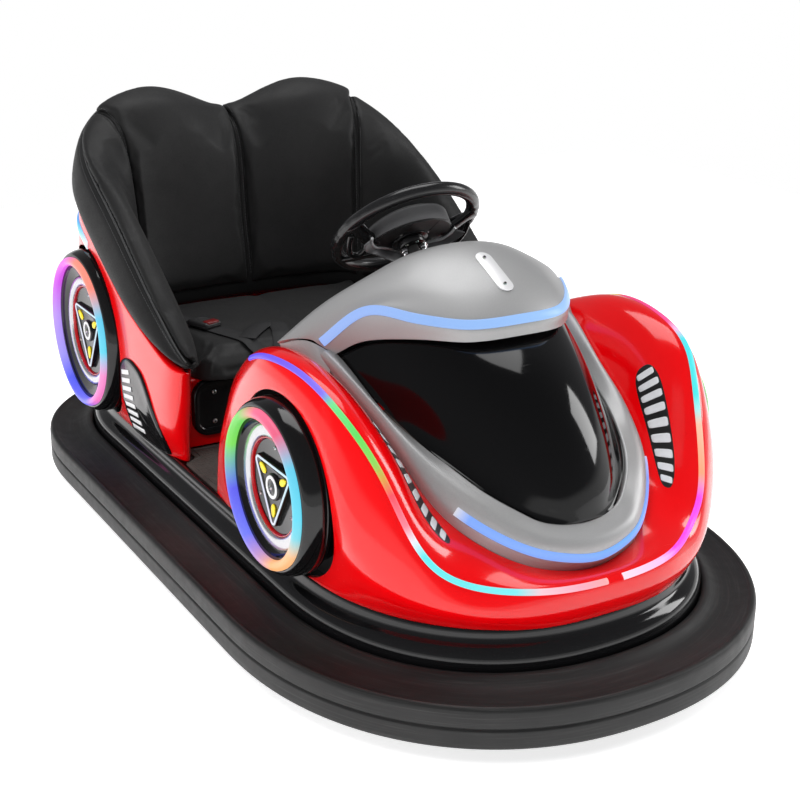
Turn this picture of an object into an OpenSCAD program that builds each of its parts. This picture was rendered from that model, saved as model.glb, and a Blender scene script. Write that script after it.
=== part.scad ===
// Two-seat battery bumper car with a moulded body, a rubber bumper all round and a bench seat.
// Millimetres, Z up, front towards -Y, +X is the car's left. The origin is on the floor under the middle of the car.

/* [Bumper and base] */
// Length over the rubber bumper
bumper_len = 1954; // [1930:2:1970]
// Width over the rubber bumper
bumper_w = 1052; // [1044:2:1070]
// Height of the bumper's lower edge over the floor
bumper_z = 52; // [46:1:56]
// Height of the bumper's outer wall
bumper_h = 76; // [70:1:80]
// Width of the rubber section, from the outer wall to the base
bumper_t = 104; // [100:1:105]
// Height of the sill and of the body's lower edge
sill_z = 203; // [200:1:206]
// Top of the floor in the footwell
floor_z = 195; // [193:1:196]

/* [Body shells] */
// Thickness of the moulded body panels
skin = 5; // [4:0.5:6]
// Thickness of the hood panel and of the cowl
hood_t = 5; // [4:0.5:6]

/* [Show wheels] */
// Distance from the middle of the car to the face of a show wheel
show_x = 455; // [450:1:460]
// Place of the front show wheel along the car
show_front_y = -428; // [-432:1:-424]
// Height of the middle of the front show wheel
show_front_z = 372; // [368:1:376]
// Outer radius of the light ring of the front show wheel
show_front_r = 148; // [145:1:150]
// Place of the rear show wheel along the car
show_rear_y = 538; // [532:1:542]
// Height of the middle of the rear show wheel
show_rear_z = 395; // [393:1:400]
// Outer radius of the light ring of the rear show wheel
show_rear_r = 173; // [170:1:175]

/* [Running gear] */
// Radius of the driven front wheel
drive_r = 75; // [72:1:77]
// Place of the steered drive unit along the car
drive_y = -490; // [-500:1:-480]
// Radius of the two rear wheels
rear_r = 70; // [66:1:72]
// Place of the rear axle along the car
axle_y = 500; // [490:1:510]
// Half of the distance between the middles of the rear wheels
axle_x = 250; // [240:1:255]

/* [Steering] */
// Outer diameter of the steering wheel
steer_d = 314; // [300:1:320]
// Angle between the steering wheel's axis and the vertical
steer_tilt = 43; // [42:0.5:44]
// Place of the middle of the steering wheel along the car
steer_y = -150; // [-155:1:-145]
// Height of the middle of the steering wheel
steer_z = 736; // [730:1:740]

/* [Hidden] */
$fn = 64;

// ---- curve and surface helpers ----
// a point between b and c on a smooth curve through a, b, c, d
function cr(a, b, c, d, t) = 0.5*((2*b) + (c - a)*t + (2*a - 5*b + 4*c - d)*t*t + (3*b - a - 3*c + d)*t*t*t);
// a smooth curve through the points v with n steps between neighbours
function smooth(v, n) = concat(
  [for (i = [0:len(v) - 2]) for (k = [0:n - 1])
    cr(i > 0 ? v[i - 1] : 2*v[0] - v[1], v[i], v[i + 1], i + 2 < len(v) ? v[i + 2] : 2*v[i + 1] - v[i], k/n)],
  [v[len(v) - 1]]);
// a net of points through rows of points, nu steps between rows and nv steps along a row
function net(rows, nu, nv) =
  let (r = [for (w = rows) smooth(w, nv)],
       c = [for (j = [0:len(r[0]) - 1]) smooth([for (i = [0:len(r) - 1]) r[i][j]], nu)])
  [for (i = [0:len(c[0]) - 1]) [for (j = [0:len(c) - 1]) c[j][i]]];
function flip(p) = [-p[0], p[1], p[2]];
// the rows of the right half in front of the rows of the left half; row 0 lies on the middle plane
function both(rows) = concat([for (i = [len(rows) - 1:-1:1]) [for (p = rows[i]) flip(p)]], rows);
// the same for each row of a net whose rows run from the middle plane outwards
function both_in_row(rows) = [for (w = rows) concat([for (i = [len(w) - 1:-1:1]) flip(w[i])], w)];

// a panel of thickness th below the net g; its outer side is the side from which rows and columns turn left
module sheet(g, th) {
  m = len(g); n = len(g[0]);
  nr = [for (i = [0:m - 1]) [for (j = [0:n - 1])
    let (a = g[min(m - 1, i + 1)][j] - g[max(0, i - 1)][j], b = g[i][min(n - 1, j + 1)] - g[i][max(0, j - 1)],
         c = cross(a, b)) c/max(norm(c), 0.001)]];
  pts = concat([for (i = [0:m - 1]) for (j = [0:n - 1]) g[i][j]],
               [for (i = [0:m - 1]) for (j = [0:n - 1]) g[i][j] - th*nr[i][j]]);
  q = m*n;
  rim = concat([for (i = [0:m - 1]) i*n], [for (j = [1:n - 1]) (m - 1)*n + j],
               [for (i = [m - 2:-1:0]) i*n + n - 1], [for (j = [n - 2:-1:1]) j]);
  k = len(rim);
  polyhedron(pts, concat(
    [for (i = [0:m - 2]) for (j = [0:n - 2]) [i*n + j, i*n + j + 1, (i + 1)*n + j + 1]],
    [for (i = [0:m - 2]) for (j = [0:n - 2]) [i*n + j, (i + 1)*n + j + 1, (i + 1)*n + j]],
    [for (i = [0:m - 2]) for (j = [0:n - 2]) [q + i*n + j, q + (i + 1)*n + j + 1, q + i*n + j + 1]],
    [for (i = [0:m - 2]) for (j = [0:n - 2]) [q + i*n + j, q + (i + 1)*n + j, q + (i + 1)*n + j + 1]],
    [for (i = [0:k - 1]) [rim[i], rim[(i + 1)%k], q + rim[(i + 1)%k]]],
    [for (i = [0:k - 1]) [rim[i], q + rim[(i + 1)%k], q + rim[i]]]), convexity = 8);
}

// a solid through closed rings of points, capped at both ends; the rings turn left seen from the start
module loft(g) {
  m = len(g); n = len(g[0]);
  ca = [for (j = [0:2]) 0];
  polyhedron(concat([for (r = g) for (p = r) p]), concat(
    [for (i = [0:m - 2]) for (j = [0:n - 1]) [i*n + j, i*n + (j + 1)%n, (i + 1)*n + (j + 1)%n]],
    [for (i = [0:m - 2]) for (j = [0:n - 1]) [i*n + j, (i + 1)*n + (j + 1)%n, (i + 1)*n + j]],
    [[for (j = [n - 1:-1:0]) j]], [[for (j = [0:n - 1]) (m - 1)*n + j]]), convexity = 8);
}

// ---- plan outline of the bumper: straight sides with rounded ends ----
side_front = -410;  // where the straight side ends at the front
side_rear = 488;    // where the straight side ends at the rear
end_pow = [2.2, 2.29];  // fullness of the front and of the rear end
function sgp(v, p) = v < 0 ? -pow(-v, p) : pow(v, p);
function plan(n) = let (hw = bumper_w/2, hl = bumper_len/2) concat(
  [for (i = [0:n]) let (a = 180*i/n) [hw*sgp(cos(a), 2/end_pow[1]), side_rear + (hl - side_rear)*sgp(sin(a), 2/end_pow[1])]],
  [for (i = [1:3]) [-hw, side_rear + (side_front - side_rear)*i/4]],
  [for (i = [0:n]) let (a = 180 + 180*i/n) [hw*sgp(cos(a), 2/end_pow[0]), side_front + (hl + side_front)*sgp(sin(a), 2/end_pow[0])]],
  [for (i = [1:3]) [hw, side_front + (side_rear - side_front)*i/4]]);
// the outline moved inwards by d
function inset(v, d) = let (n = len(v)) [for (i = [0:n - 1])
  let (t = v[(i + 1)%n] - v[(i + n - 1)%n], l = norm(t)) v[i] - d*[t[1], -t[0]]/l];
// a closed ring with the section [[inset, height], ...] all round the outline; the section turns left seen against the way round
module hoop(v, sec) {
  n = len(v); k = len(sec);
  rings = [for (s = sec) inset(v, s[0])];
  polyhedron([for (i = [0:n - 1]) for (j = [0:k - 1]) [rings[j][i][0], rings[j][i][1], sec[j][1]]], concat(
    [for (i = [0:n - 1]) for (j = [0:k - 1]) let (a = i*k + j, b = i*k + (j + 1)%k, c = ((i + 1)%n)*k + (j + 1)%k) [a, b, c]],
    [for (i = [0:n - 1]) for (j = [0:k - 1]) let (a = i*k + j, c = ((i + 1)%n)*k + (j + 1)%k, d = ((i + 1)%n)*k + j) [a, c, d]]),
    convexity = 8);
}

// ---- bumper and base ----
// columns: inset from the outline, height
bumper_sec = [[7, bumper_z], [0, bumper_z + 8], [0, bumper_z + bumper_h - 4], [4, bumper_z + bumper_h + 1],
  [12, bumper_z + bumper_h + 2], [45, bumper_z + bumper_h - 3], [75, bumper_z + bumper_h + 1],
  [bumper_t - 8, bumper_z + bumper_h + 11], [bumper_t, bumper_z + bumper_h + 9], [bumper_t, bumper_z + 6], [bumper_t - 6, bumper_z]];
module bumper_ring() color([0.09, 0.09, 0.1]) hoop(plan(24), bumper_sec);

// columns: inset, height; the outer side of the black base, then back along its inner side
base_sec = [[bumper_t + 3, 118], [bumper_t + 3, 142], [bumper_t + 5, 166], [bumper_t + 15, 188], [bumper_t + 28, sill_z - 3],
  [bumper_t + 38, sill_z - 2], [bumper_t + 46, floor_z], [bumper_t + 70, floor_z], [bumper_t + 70, 118],
  [bumper_t + 62, 118], [bumper_t + 62, floor_z - 8], [bumper_t + 46, floor_z - 8], [bumper_t + 30, sill_z - 13],
  [bumper_t + 19, 182], [bumper_t + 12, 162], [bumper_t + 10, 118]];
module base_pan() color([0.03, 0.03, 0.03]) {
  hoop(plan(24), base_sec);
  difference() {
    translate([0, 0, floor_z - 12]) linear_extrude(12) polygon(inset(plan(24), bumper_t + 66));
    translate([0, drive_y, 150]) cylinder(r = 27, h = 60);
  }
}

// columns: x of the middle, y of the middle, size along x, size along y
rails = [[-190, -5, 40, 1250], [190, -5, 40, 1250], [0, -650, 420, 40], [0, -330, 340, 40], [0, 180, 340, 40], [0, 640, 420, 40],
  [-314, 300, 208, 40], [314, 300, 208, 40], [-314, -330, 208, 40], [314, -330, 208, 40], [0, -768, 40, 200], [0, 758, 40, 220]];
module chassis_frame() color([0.2, 0.2, 0.22]) difference() {
  union() {
    for (r = rails) translate([r[0] - r[2]/2, r[1] - r[3]/2, 78]) cube([r[2], r[3], 40]);
    difference() {
      translate([0, 0, 70]) linear_extrude(44) polygon(inset(plan(24), bumper_t));
      translate([0, 0, 60]) linear_extrude(64) polygon(inset(plan(24), bumper_t + 8));
    }
    // posts that carry the floor
    for (x = [-190, 190]) for (y = [-200, 180, 590]) translate([x - 20, y - 20, 117]) cube([40, 40, floor_z - 12 - 117]);
    // jacking pads under the rails
    for (x = [-190, 190]) for (y = [-150, 300]) translate([x - 20, y - 30, 70]) cube([40, 60, 10]);
  }
  // tie-down holes in the front and the rear tongue
  for (y = [-790, 790]) translate([0, y, 60]) cylinder(r = 7, h = 80);
}

module floor_mat() color([0.16, 0.13, 0.12]) translate([0, 0, floor_z]) linear_extrude(5)
  polygon([[-340, 202], [-340, 150], [-373, 130], [-374, -240], [374, -240], [373, 130], [340, 150], [340, 202]]);

// ---- front body ----
// half of the shell from the middle of the nose to the rear end of the left fender.
// columns: lower edge, wall, upper wall, crest with the light strip, shoulder, inner edge at the hood frame
front_tab = [
  [[0, -848, 204], [0, -857, 230], [0, -857, 252], [0, -852, 270], [0, -834, 277], [0, -797, 268]],
  [[130, -836, 204], [136, -846, 230], [137, -846, 254], [137, -838, 275], [130, -816, 283], [112, -774, 287]],
  [[235, -782, 204], [246, -797, 235], [249, -791, 262], [246, -774, 285], [225, -752, 304], [187, -712, 323]],
  [[315, -700, 204], [338, -725, 260], [331, -729, 305], [310, -729, 340], [276, -700, 364], [228, -641, 368]],
  [[362, -610, 204], [397, -655, 320], [384, -660, 412], [350, -655, 474], [305, -628, 474], [247, -567, 428]],
  [[385, -530, 206], [413, -575, 400], [409, -579, 490], [384, -580, 556], [330, -555, 548], [256, -500, 466]],
  [[392, -440, 206], [418, -470, 420], [418, -470, 530], [397, -468, 592], [340, -455, 586], [264, -440, 497]],
  [[395, -340, 206], [418, -350, 400], [420, -348, 520], [405, -345, 589], [350, -338, 594], [284, -366, 536]],
  [[390, -150, 206], [408, -190, 350], [408, -212, 470], [390, -232, 546], [354, -225, 560], [326, -240, 566]],
  [[382, -58, 206], [392, -95, 320], [391, -132, 410], [378, -152, 488], [352, -158, 508], [326, -165, 516]]];
module front_body() color([0.85, 0.02, 0.02]) difference() {
  sheet(net(both(front_tab), 3, 3), skin);
  for (s = [-1, 1]) translate([s*(show_x - 120), show_front_y, show_front_z]) rotate([0, s*90, 0]) cylinder(r = show_front_r + 26, h = 200);
}

// the silver frame round the hood panel; columns: outer edge at the front body, light line, ridge, inner edge at the panel
frame_tab = [
  [[0, -799, 272], [0, -814, 300], [0, -808, 328], [0, -778, 346]],
  [[85, -787, 284], [86, -797, 312], [84, -790, 338], [74, -764, 354]],
  [[140, -757, 300], [145, -757, 331], [140, -749, 358], [120, -734, 376]],
  [[196, -703, 334], [197, -699, 364], [185, -696, 392], [160, -688, 402]],
  [[231, -637, 374], [231, -638, 402], [216, -636, 426], [188, -632, 430]],
  [[251, -552, 440], [250, -555, 458], [237, -558, 470], [212, -558, 458]],
  [[262, -465, 489], [261, -468, 503], [251, -470, 512], [233, -467, 493]],
  [[281, -368, 541], [280, -372, 552], [270, -374, 560], [252, -370, 550]]];
module hood_frame() color([0.7, 0.7, 0.72]) sheet(net(both(frame_tab), 3, 2), skin - 1);

// the black panel; columns run from the middle plane outwards: middle, quarter, edge
panel_tab = [
  [[0, -552, 616], [98, -532, 612], [164, -466, 609], [216, -382, 588], [246, -350, 560]],
  [[0, -622, 582], [98, -595, 574], [163, -530, 560], [208, -450, 543], [235, -415, 519]],
  [[0, -685, 529], [92, -660, 517], [152, -600, 502], [196, -530, 488], [219, -499, 478]],
  [[0, -735, 465], [80, -714, 452], [133, -668, 443], [175, -611, 439], [196, -586, 444]],
  [[0, -762, 403], [55, -753, 396], [98, -727, 392], [135, -697, 392], [154, -682, 400]],
  [[0, -771, 350], [25, -770, 351], [47, -766, 352], [66, -759, 354], [81, -751, 360]]];
module hood_panel() color([0.02, 0.02, 0.02]) sheet(net(both_in_row(panel_tab), 3, 2), hood_t);

// the silver cowl; columns run from the middle plane outwards, rows from the dashboard edge to the front edge
cowl_tab = [
  [[0, -318, 742], [90, -308, 728], [170, -290, 690], [250, -262, 640], [328, -236, 572]],
  [[0, -365, 753], [90, -352, 739], [170, -328, 702], [252, -292, 650], [330, -256, 580]],
  [[0, -430, 738], [90, -415, 727], [165, -385, 700], [238, -335, 658], [314, -284, 590]],
  [[0, -505, 702], [92, -484, 698], [156, -436, 686], [216, -372, 660], [294, -306, 591]],
  [[0, -554, 656], [98, -537, 654], [165, -472, 657], [220, -378, 656], [284, -320, 584]],
  [[0, -560, 627], [98, -541, 623], [168, -474, 620], [224, -384, 600], [262, -340, 567]]];
module cowl() color([0.7, 0.7, 0.72]) sheet(net(both_in_row(cowl_tab), 3, 2), hood_t);
module cowl_plate() color([0.85, 0.85, 0.87]) translate([0, -467, 726.5]) rotate([25.6, 0, 0]) linear_extrude(4)
  hull() for (y = [-38, 38]) translate([0, y]) circle(r = 17);

// a flat strip of width w and height h that follows the points v, lying on the surface with the normals nn
module strip(v, nn, w, h) {
  c = smooth(v, 4); u = smooth(nn, 4); n = len(c);
  loft([for (i = [0:n - 1]) let (t = c[min(n - 1, i + 1)] - c[max(0, i - 1)], z = u[i]/norm(u[i]), s = cross(t, z)/norm(cross(t, z)))
    [c[i] + s*w/2, c[i] + s*w/2 + z*h, c[i] - s*w/2 + z*h, c[i] - s*w/2]]);
}
cowl_light_nrm = [[0, -10, 4], [4, -9, 4], [8, -6, 3], [8, -5, 5], [8, -5, 4]];
cowl_light_pts = [for (i = [0:4]) cowl_tab[4][i] + 3*cowl_light_nrm[i]/norm(cowl_light_nrm[i])];
module cowl_light() color([0.5, 0.65, 1]) strip(
  concat([for (i = [len(cowl_light_pts) - 1:-1:1]) flip(cowl_light_pts[i])], cowl_light_pts),
  concat([for (i = [len(cowl_light_nrm) - 1:-1:1]) flip(cowl_light_nrm[i])], cowl_light_nrm), 10, 3);
nose_light_nrm = [[0, -10, 1], [3, -10, 2], [6, -8, 2], [8, -6, 3]];
nose_light_pts = [for (i = [0:3]) frame_tab[i][1] + 2.5*nose_light_nrm[i]/norm(nose_light_nrm[i])];
module nose_light() color([0.5, 0.65, 1]) strip(
  concat([for (i = [len(nose_light_pts) - 1:-1:1]) flip(nose_light_pts[i])], nose_light_pts),
  concat([for (i = [len(nose_light_nrm) - 1:-1:1]) flip(nose_light_nrm[i])], nose_light_nrm), 11, 3);
// crest line of the fender from the nose to its rear
fender_light_nrm = [[0, -10, 5], [3, -10, 6], [5, -8, 6], [8, -6, 6], [8, -6, 5], [9, -4, 6], [7, -2, 9], [7, 1, 9], [7, 5, 7]];
fender_light_pts = [for (i = [0:8]) front_tab[i][3] + [i == 0 ? 22 : 0, 0, 0] + 3*fender_light_nrm[i]/norm(fender_light_nrm[i])];
module fender_light(s) strip(s > 0 ? fender_light_pts : [for (i = [8:-1:0]) flip(fender_light_pts[i])],
  s > 0 ? fender_light_nrm : [for (i = [8:-1:0]) flip(fender_light_nrm[i])], 9, 3);
module fender_light_left() color([1, 0.5, 0.8]) fender_light(1);
module fender_light_right() color([0.4, 0.9, 0.6]) fender_light(-1);

// the black panel that faces the driver, with its two side cheeks
dash_tab = [
  [[0, -330, 722], [90, -320, 708], [170, -304, 672], [242, -276, 622], [316, -250, 556]],
  [[0, -300, 660], [90, -292, 650], [170, -276, 625], [246, -250, 590], [318, -205, 530]],
  [[0, -310, 560], [90, -302, 555], [170, -284, 545], [246, -255, 520], [316, -185, 480]]];
module dashboard() color([0.05, 0.05, 0.05]) difference() {
  sheet(net([for (w = [dash_tab[2], dash_tab[1], dash_tab[0]]) concat([for (i = [4:-1:1]) flip(w[i])], w)], 3, 2), hood_t);
  steer_place() translate([0, 0, -300]) cylinder(r = 24, h = 300);
}

// ---- rear body and seat ----
// half of the shell from the middle of the tail to the front corner; columns: lower edge, wall, upper edge
rear_tab = [
  [[0, 846, 205], [0, 858, 330], [0, 856, 500], [0, 814, 692]],
  [[190, 832, 205], [198, 845, 330], [200, 842, 500], [192, 802, 690]],
  [[305, 765, 205], [325, 780, 330], [328, 778, 500], [318, 746, 683]],
  [[375, 655, 205], [402, 665, 330], [410, 664, 480], [405, 644, 670]],
  [[396, 500, 205], [424, 505, 320], [430, 504, 440], [430, 491, 626]],
  [[398, 340, 205], [426, 340, 300], [432, 336, 400], [434, 325, 532]],
  [[396, 225, 205], [422, 205, 290], [430, 185, 380], [432, 160, 472]],
  [[380, 150, 205], [406, 120, 285], [418, 90, 360], [424, 62, 440]],
  [[366, 128, 205], [377, 98, 285], [385, 68, 355], [393, 42, 432]],
  [[352, 150, 205], [358, 130, 285], [362, 110, 355], [366, 96, 425]]];
module rear_body() color([0.85, 0.02, 0.02]) difference() {
  sheet(net(both([for (w = rear_tab) [for (i = [3:-1:0]) w[i]]]), 3, 2), skin);
  for (s = [-1, 1]) translate([s*(show_x - 120), show_rear_y, show_rear_z]) rotate([0, s*90, 0]) cylinder(r = show_rear_r + 25, h = 200);
  // charging socket hole in the tail
  translate([0, 900, 300]) rotate([90, 0, 0]) cylinder(r = 14, h = 120);
}
// charging socket in the tail
module charge_socket() color([0.1, 0.1, 0.1]) translate([0, 863, 300]) rotate([90, 0, 0]) difference() {
  union() { cylinder(r = 22, h = 4); cylinder(r = 13.5, h = 43); }
  translate([0, 0, -1]) cylinder(r = 9, h = 31);
}
module seat_box() color([0.75, 0.02, 0.02]) {
  translate([-342, 205, 200]) cube([684, 8, 150]);
  translate([-342, 205, 350]) cube([684, 390, 8]);
  translate([-310, 587, 200]) cube([620, 8, 150]);
}
module battery_cover() color([0.03, 0.03, 0.03]) translate([0, 204.5, 291]) rotate([90, 0, 0]) linear_extrude(14)
  hull() for (x = [-284, 284]) for (z = [-26, 26]) translate([x, z]) circle(r = 40);
module battery() color([0.1, 0.1, 0.12]) translate([-170, 330, 196]) cube([340, 180, 150]);
module seat_cushion() color([0.06, 0.06, 0.06]) translate([0, 385, 359]) hull() {
  for (x = [-270, 270]) for (y = [-175, 172]) translate([x, y, 0]) cylinder(r = 40, h = 38, $fn = 32);
  for (x = [-262, 262]) for (y = [-167, 164]) translate([x, y, 38]) cylinder(r = 30, h = 15, $fn = 32);
}
// half of the back from the middle plane to the tip of the wing; a ring of points round the section:
// columns: inner foot, inner face, inner top, crest, outer top, outer lip, under the lip, outer foot
back_tab = [
  [[0, 580, 418], [0, 604, 600], [0, 632, 790], [0, 711, 852], [0, 765, 825], [0, 786, 714], [0, 750, 680], [0, 705, 418]],
  [[110, 577, 418], [110, 598, 610], [110, 622, 828], [112, 698, 894], [112, 768, 866], [112, 786, 714], [110, 750, 678], [108, 702, 418]],
  [[210, 568, 418], [208, 588, 610], [208, 612, 848], [210, 690, 915], [214, 762, 885], [214, 782, 712], [206, 745, 672], [200, 692, 418]],
  [[280, 535, 418], [290, 556, 600], [304, 584, 805], [330, 662, 878], [355, 712, 835], [364, 722, 706], [325, 700, 665], [310, 640, 418]],
  [[318, 450, 420], [332, 470, 560], [350, 506, 718], [388, 560, 803], [420, 592, 768], [432, 590, 690], [356, 556, 640], [350, 540, 424]],
  [[324, 330, 422], [340, 335, 520], [358, 350, 632], [395, 378, 718], [434, 392, 672], [443, 386, 584], [356, 370, 550], [350, 358, 428]],
  [[328, 190, 424], [344, 190, 480], [359, 192, 542], [396, 200, 598], [434, 204, 562], [444, 202, 504], [362, 198, 474], [352, 195, 434]],
  [[350, 82, 430], [358, 80, 450], [366, 78, 474], [394, 74, 500], [424, 74, 488], [431, 74, 469], [398, 74, 457], [372, 78, 437]],
  [[376, 35, 447], [380, 30, 451], [385, 27, 456], [396, 22, 464], [409, 25, 461], [412, 29, 457], [407, 32, 451], [391, 35, 447]]];
module seat_back() color([0.06, 0.06, 0.06]) {
  g = both(back_tab);
  r = [for (w = g) [for (i = [0:len(w) - 1]) w[i]]];
  c = [for (j = [0:7]) smooth([for (w = r) w[j]], 3)];
  loft([for (i = [0:len(c[0]) - 1]) [for (j = [7:-1:0]) c[j][i]]]);
}
module belt_buckle() color([0.05, 0.05, 0.05]) translate([-248, 318, 412.6]) { cube([50, 76, 12]); translate([8, 76, 0]) cube([34, 130, 3]); }
module side_trims() color([0.03, 0.03, 0.03]) for (s = [-1, 1])
  sheet(net([for (w = (s > 0 ? [0, 1, 2] : [2, 1, 0])) let (y = [345, 240, 152][w], t = [366, 392, 300][w])
    [[s*[407, 406, 391][w], y, 211], [s*[432, 435, 413][w], y - 4, (211 + t)/2], [s*[440, 441, 427][w], y - 10, t]]], 2, 2), 3);
// light strips on the rear body just below the seat
rear_grid = net(rear_tab, 4, 4);
function rear_nrm(i, j) = let (c = cross(rear_grid[i + 1][j] - rear_grid[i - 1][j], rear_grid[i][j + 1] - rear_grid[i][j - 1])) -c/norm(c);
module rear_lights() color([0.3, 0.8, 1]) for (s = [-1, 1]) {
  n = [for (i = s > 0 ? [14, 12, 10, 8] : [8, 10, 12, 14]) let (v = rear_nrm(i, 11)) [s*v[0], v[1], v[2]]];
  p = [for (i = s > 0 ? [14, 12, 10, 8] : [8, 10, 12, 14]) let (v = rear_grid[i][11] + 2*rear_nrm(i, 11)) [s*v[0], v[1], v[2]]];
  strip(p, n, 12, 3);
}

// ---- show wheels ----
// columns: y, z, outer radius of the light ring
show_tab = [[show_front_y, show_front_z, show_front_r], [show_rear_y, show_rear_z, show_rear_r]];
module at_show(s, w) translate([s*show_x, w[0], w[1]]) rotate([0, s*90, 0]) children();
module show_tyres() color([0.02, 0.02, 0.02]) for (s = [-1, 1]) for (w = show_tab) at_show(s, w)
  rotate_extrude($fn = 72) polygon([[w[2] + 0.5, -2], [w[2] + 5, -3], [w[2] + 10, -8], [w[2] + 14, -18], [w[2] + 16, -32],
    [w[2] + 15, -48], [w[2] + 10, -57], [w[2] + 0.5, -58]]);
module show_light_rings() color([0.6, 0.7, 1]) for (s = [-1, 1]) for (w = show_tab) at_show(s, w)
  rotate_extrude($fn = 72) translate([w[2] - 10, 0]) circle(r = 10, $fn = 16);
module show_rims() color([0.75, 0.75, 0.78]) for (s = [-1, 1]) for (w = show_tab) at_show(s, w) {
  rotate_extrude($fn = 72) polygon([[w[2] - 24, -86], [w[2], -86], [w[2], -10.5], [w[2] - 22, -10.5], [w[2] - 29, -16], [w[2] - 32, -16],
    [w[2] - 36, -13], [w[2] - 50, -13], [w[2] - 54, -18], [w[2] - 54, -34], [w[2] - 32, -40]]);
  translate([0, 0, -34]) cylinder(r = w[2] - 52, h = 9);
  translate([0, 0, -27]) cylinder(r = 26, h = 13);
  for (a = [90, 210, 330]) rotate([0, 0, a]) translate([w[2]*0.42, 0, -27]) cylinder(r = 17, h = 8);
}

// ---- steering ----
// distance along the steering axis from the wheel to the universal joint over the kingpin, and that joint's height
joint_s = (steer_y - drive_y)/sin(steer_tilt);
joint_z = steer_z - joint_s*cos(steer_tilt);
module steer_place() translate([0, steer_y, steer_z]) rotate([-steer_tilt, 0, 0]) children();
rim_r = 13;
module steering_rim() color([0.03, 0.03, 0.03]) steer_place() rotate_extrude($fn = 96) translate([steer_d/2 - rim_r, 0]) circle(r = rim_r, $fn = 24);
module steering_spokes() color([0.35, 0.35, 0.37]) steer_place() difference() {
  union() {
    translate([0, 0, -18]) cylinder(r = 38, h = 12);
    for (a = [-20, 200]) rotate([0, 0, a]) translate([0, -15, -17]) cube([steer_d/2 - rim_r - 9, 30, 7]);
  }
  translate([0, 0, -30]) cylinder(r = 10.5, h = 40);
}
module steering_pad() color([0.04, 0.04, 0.04]) steer_place() translate([0, 0, -5.5]) linear_extrude(16) intersection() {
  circle(r = 78); translate([-80, -85]) square([160, 90]);
}
module steering_shaft() color([0.5, 0.5, 0.52]) steer_place() {
  translate([0, 0, 22 - joint_s]) cylinder(r = 10.5, h = joint_s - 28);
  translate([0, 0, 22 - joint_s]) cylinder(r = 15, h = 26);
}
module steering_column() color([0.1, 0.1, 0.1]) {
  steer_place() difference() {
    union() { translate([0, 0, -440]) cylinder(r = 20, h = 390); translate([0, 0, -446]) cylinder(r = 34, h = 20); }
    translate([0, 0, -460]) cylinder(r = 12, h = 430);
  }
}

// ---- running gear ----
module drive_fork() color([0.25, 0.25, 0.27]) translate([0, drive_y, 0]) {
  translate([0, 0, 160]) cylinder(r = 12, h = joint_z - 160);
  translate([0, 0, joint_z]) sphere(r = 16);
  translate([-62, -34, 152]) cube([124, 68, 10]);
  for (s = [-1, 1]) difference() {
    translate([s*54 - 5, -26, 50]) cube([10, 52, 104]);
    translate([s*54 - 20, 0, drive_r]) rotate([0, 90, 0]) cylinder(r = 9, h = 40);
  }
}
// bridge over the drive unit with the kingpin's bearing
module drive_bracket() color([0.2, 0.2, 0.22]) translate([0, drive_y, 0]) difference() {
  union() {
    translate([-199, -35, floor_z - 20]) cube([398, 70, 8]);
    for (s = [-1, 1]) translate([s*190 - 9, -35, 118]) cube([18, 70, floor_z - 20 - 118]);
    translate([0, 0, 170]) cylinder(r = 24, h = 50);
  }
  translate([0, 0, 165]) cylinder(r = 13, h = 60);
}
module drive_motor() color([0.15, 0.15, 0.17]) translate([62, drive_y, drive_r]) rotate([0, 90, 0]) cylinder(r = 38, h = 40);
module drive_hub() color([0.6, 0.6, 0.62]) translate([0, drive_y, drive_r]) rotate([0, 90, 0]) {
  translate([0, 0, -25]) cylinder(r = 48, h = 50);
  translate([0, 0, -58]) cylinder(r = 8.5, h = 116);
}
module drive_tyre() color([0.08, 0.08, 0.08]) translate([0, drive_y, drive_r]) rotate([0, 90, 0]) rotate_extrude()
  polygon([[48, -25], [drive_r - 5, -25], [drive_r, -18], [drive_r, 18], [drive_r - 5, 25], [48, 25]]);
module rear_axle() color([0.4, 0.4, 0.42]) {
  translate([-axle_x - 36, axle_y, rear_r]) rotate([0, 90, 0]) cylinder(r = 7.5, h = 2*axle_x + 72);
  for (s = [-1, 1]) translate([s*190 - 14, axle_y - 20, rear_r - 18]) cube([28, 40, 78 - rear_r + 18]);
}
module rear_hub(s) translate([s*axle_x, axle_y, rear_r]) rotate([0, 90, 0]) difference() {
  translate([0, 0, -22]) cylinder(r = 40, h = 44);
  translate([0, 0, -30]) cylinder(r = 8, h = 60);
}
module rear_tyre(s) translate([s*axle_x, axle_y, rear_r]) rotate([0, 90, 0]) rotate_extrude()
  polygon([[40, -22], [rear_r - 5, -22], [rear_r, -16], [rear_r, 16], [rear_r - 5, 22], [40, 22]]);
module rear_hub_left() color([0.6, 0.6, 0.62]) rear_hub(1);
module rear_hub_right() color([0.6, 0.6, 0.62]) rear_hub(-1);
module rear_tyre_left() color([0.08, 0.08, 0.08]) rear_tyre(1);
module rear_tyre_right() color([0.08, 0.08, 0.08]) rear_tyre(-1);
module pedal() color([0.4, 0.4, 0.42]) translate([-110, -300, floor_z + 5]) {
  translate([0, 0, 0]) cube([90, 20, 14]);
  translate([5, 0, 10]) rotate([35, 0, 0]) translate([0, -8, 0]) cube([80, 8, 130]);
}

bumper_ring();
base_pan();
chassis_frame();
floor_mat();
front_body();
hood_frame();
hood_panel();
cowl();
cowl_plate();
cowl_light();
nose_light();
fender_light_left();
fender_light_right();
rear_lights();
dashboard();
rear_body();
charge_socket();
seat_box();
battery_cover();
battery();
seat_cushion();
seat_back();
belt_buckle();
side_trims();
show_tyres();
show_rims();
show_light_rings();
steering_column();
steering_rim();
steering_spokes();
steering_pad();
steering_shaft();
drive_bracket();
drive_fork();
drive_motor();
drive_hub();
drive_tyre();
rear_axle();
rear_hub_left();
rear_tyre_left();
rear_hub_right();
rear_tyre_right();
pedal();
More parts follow.
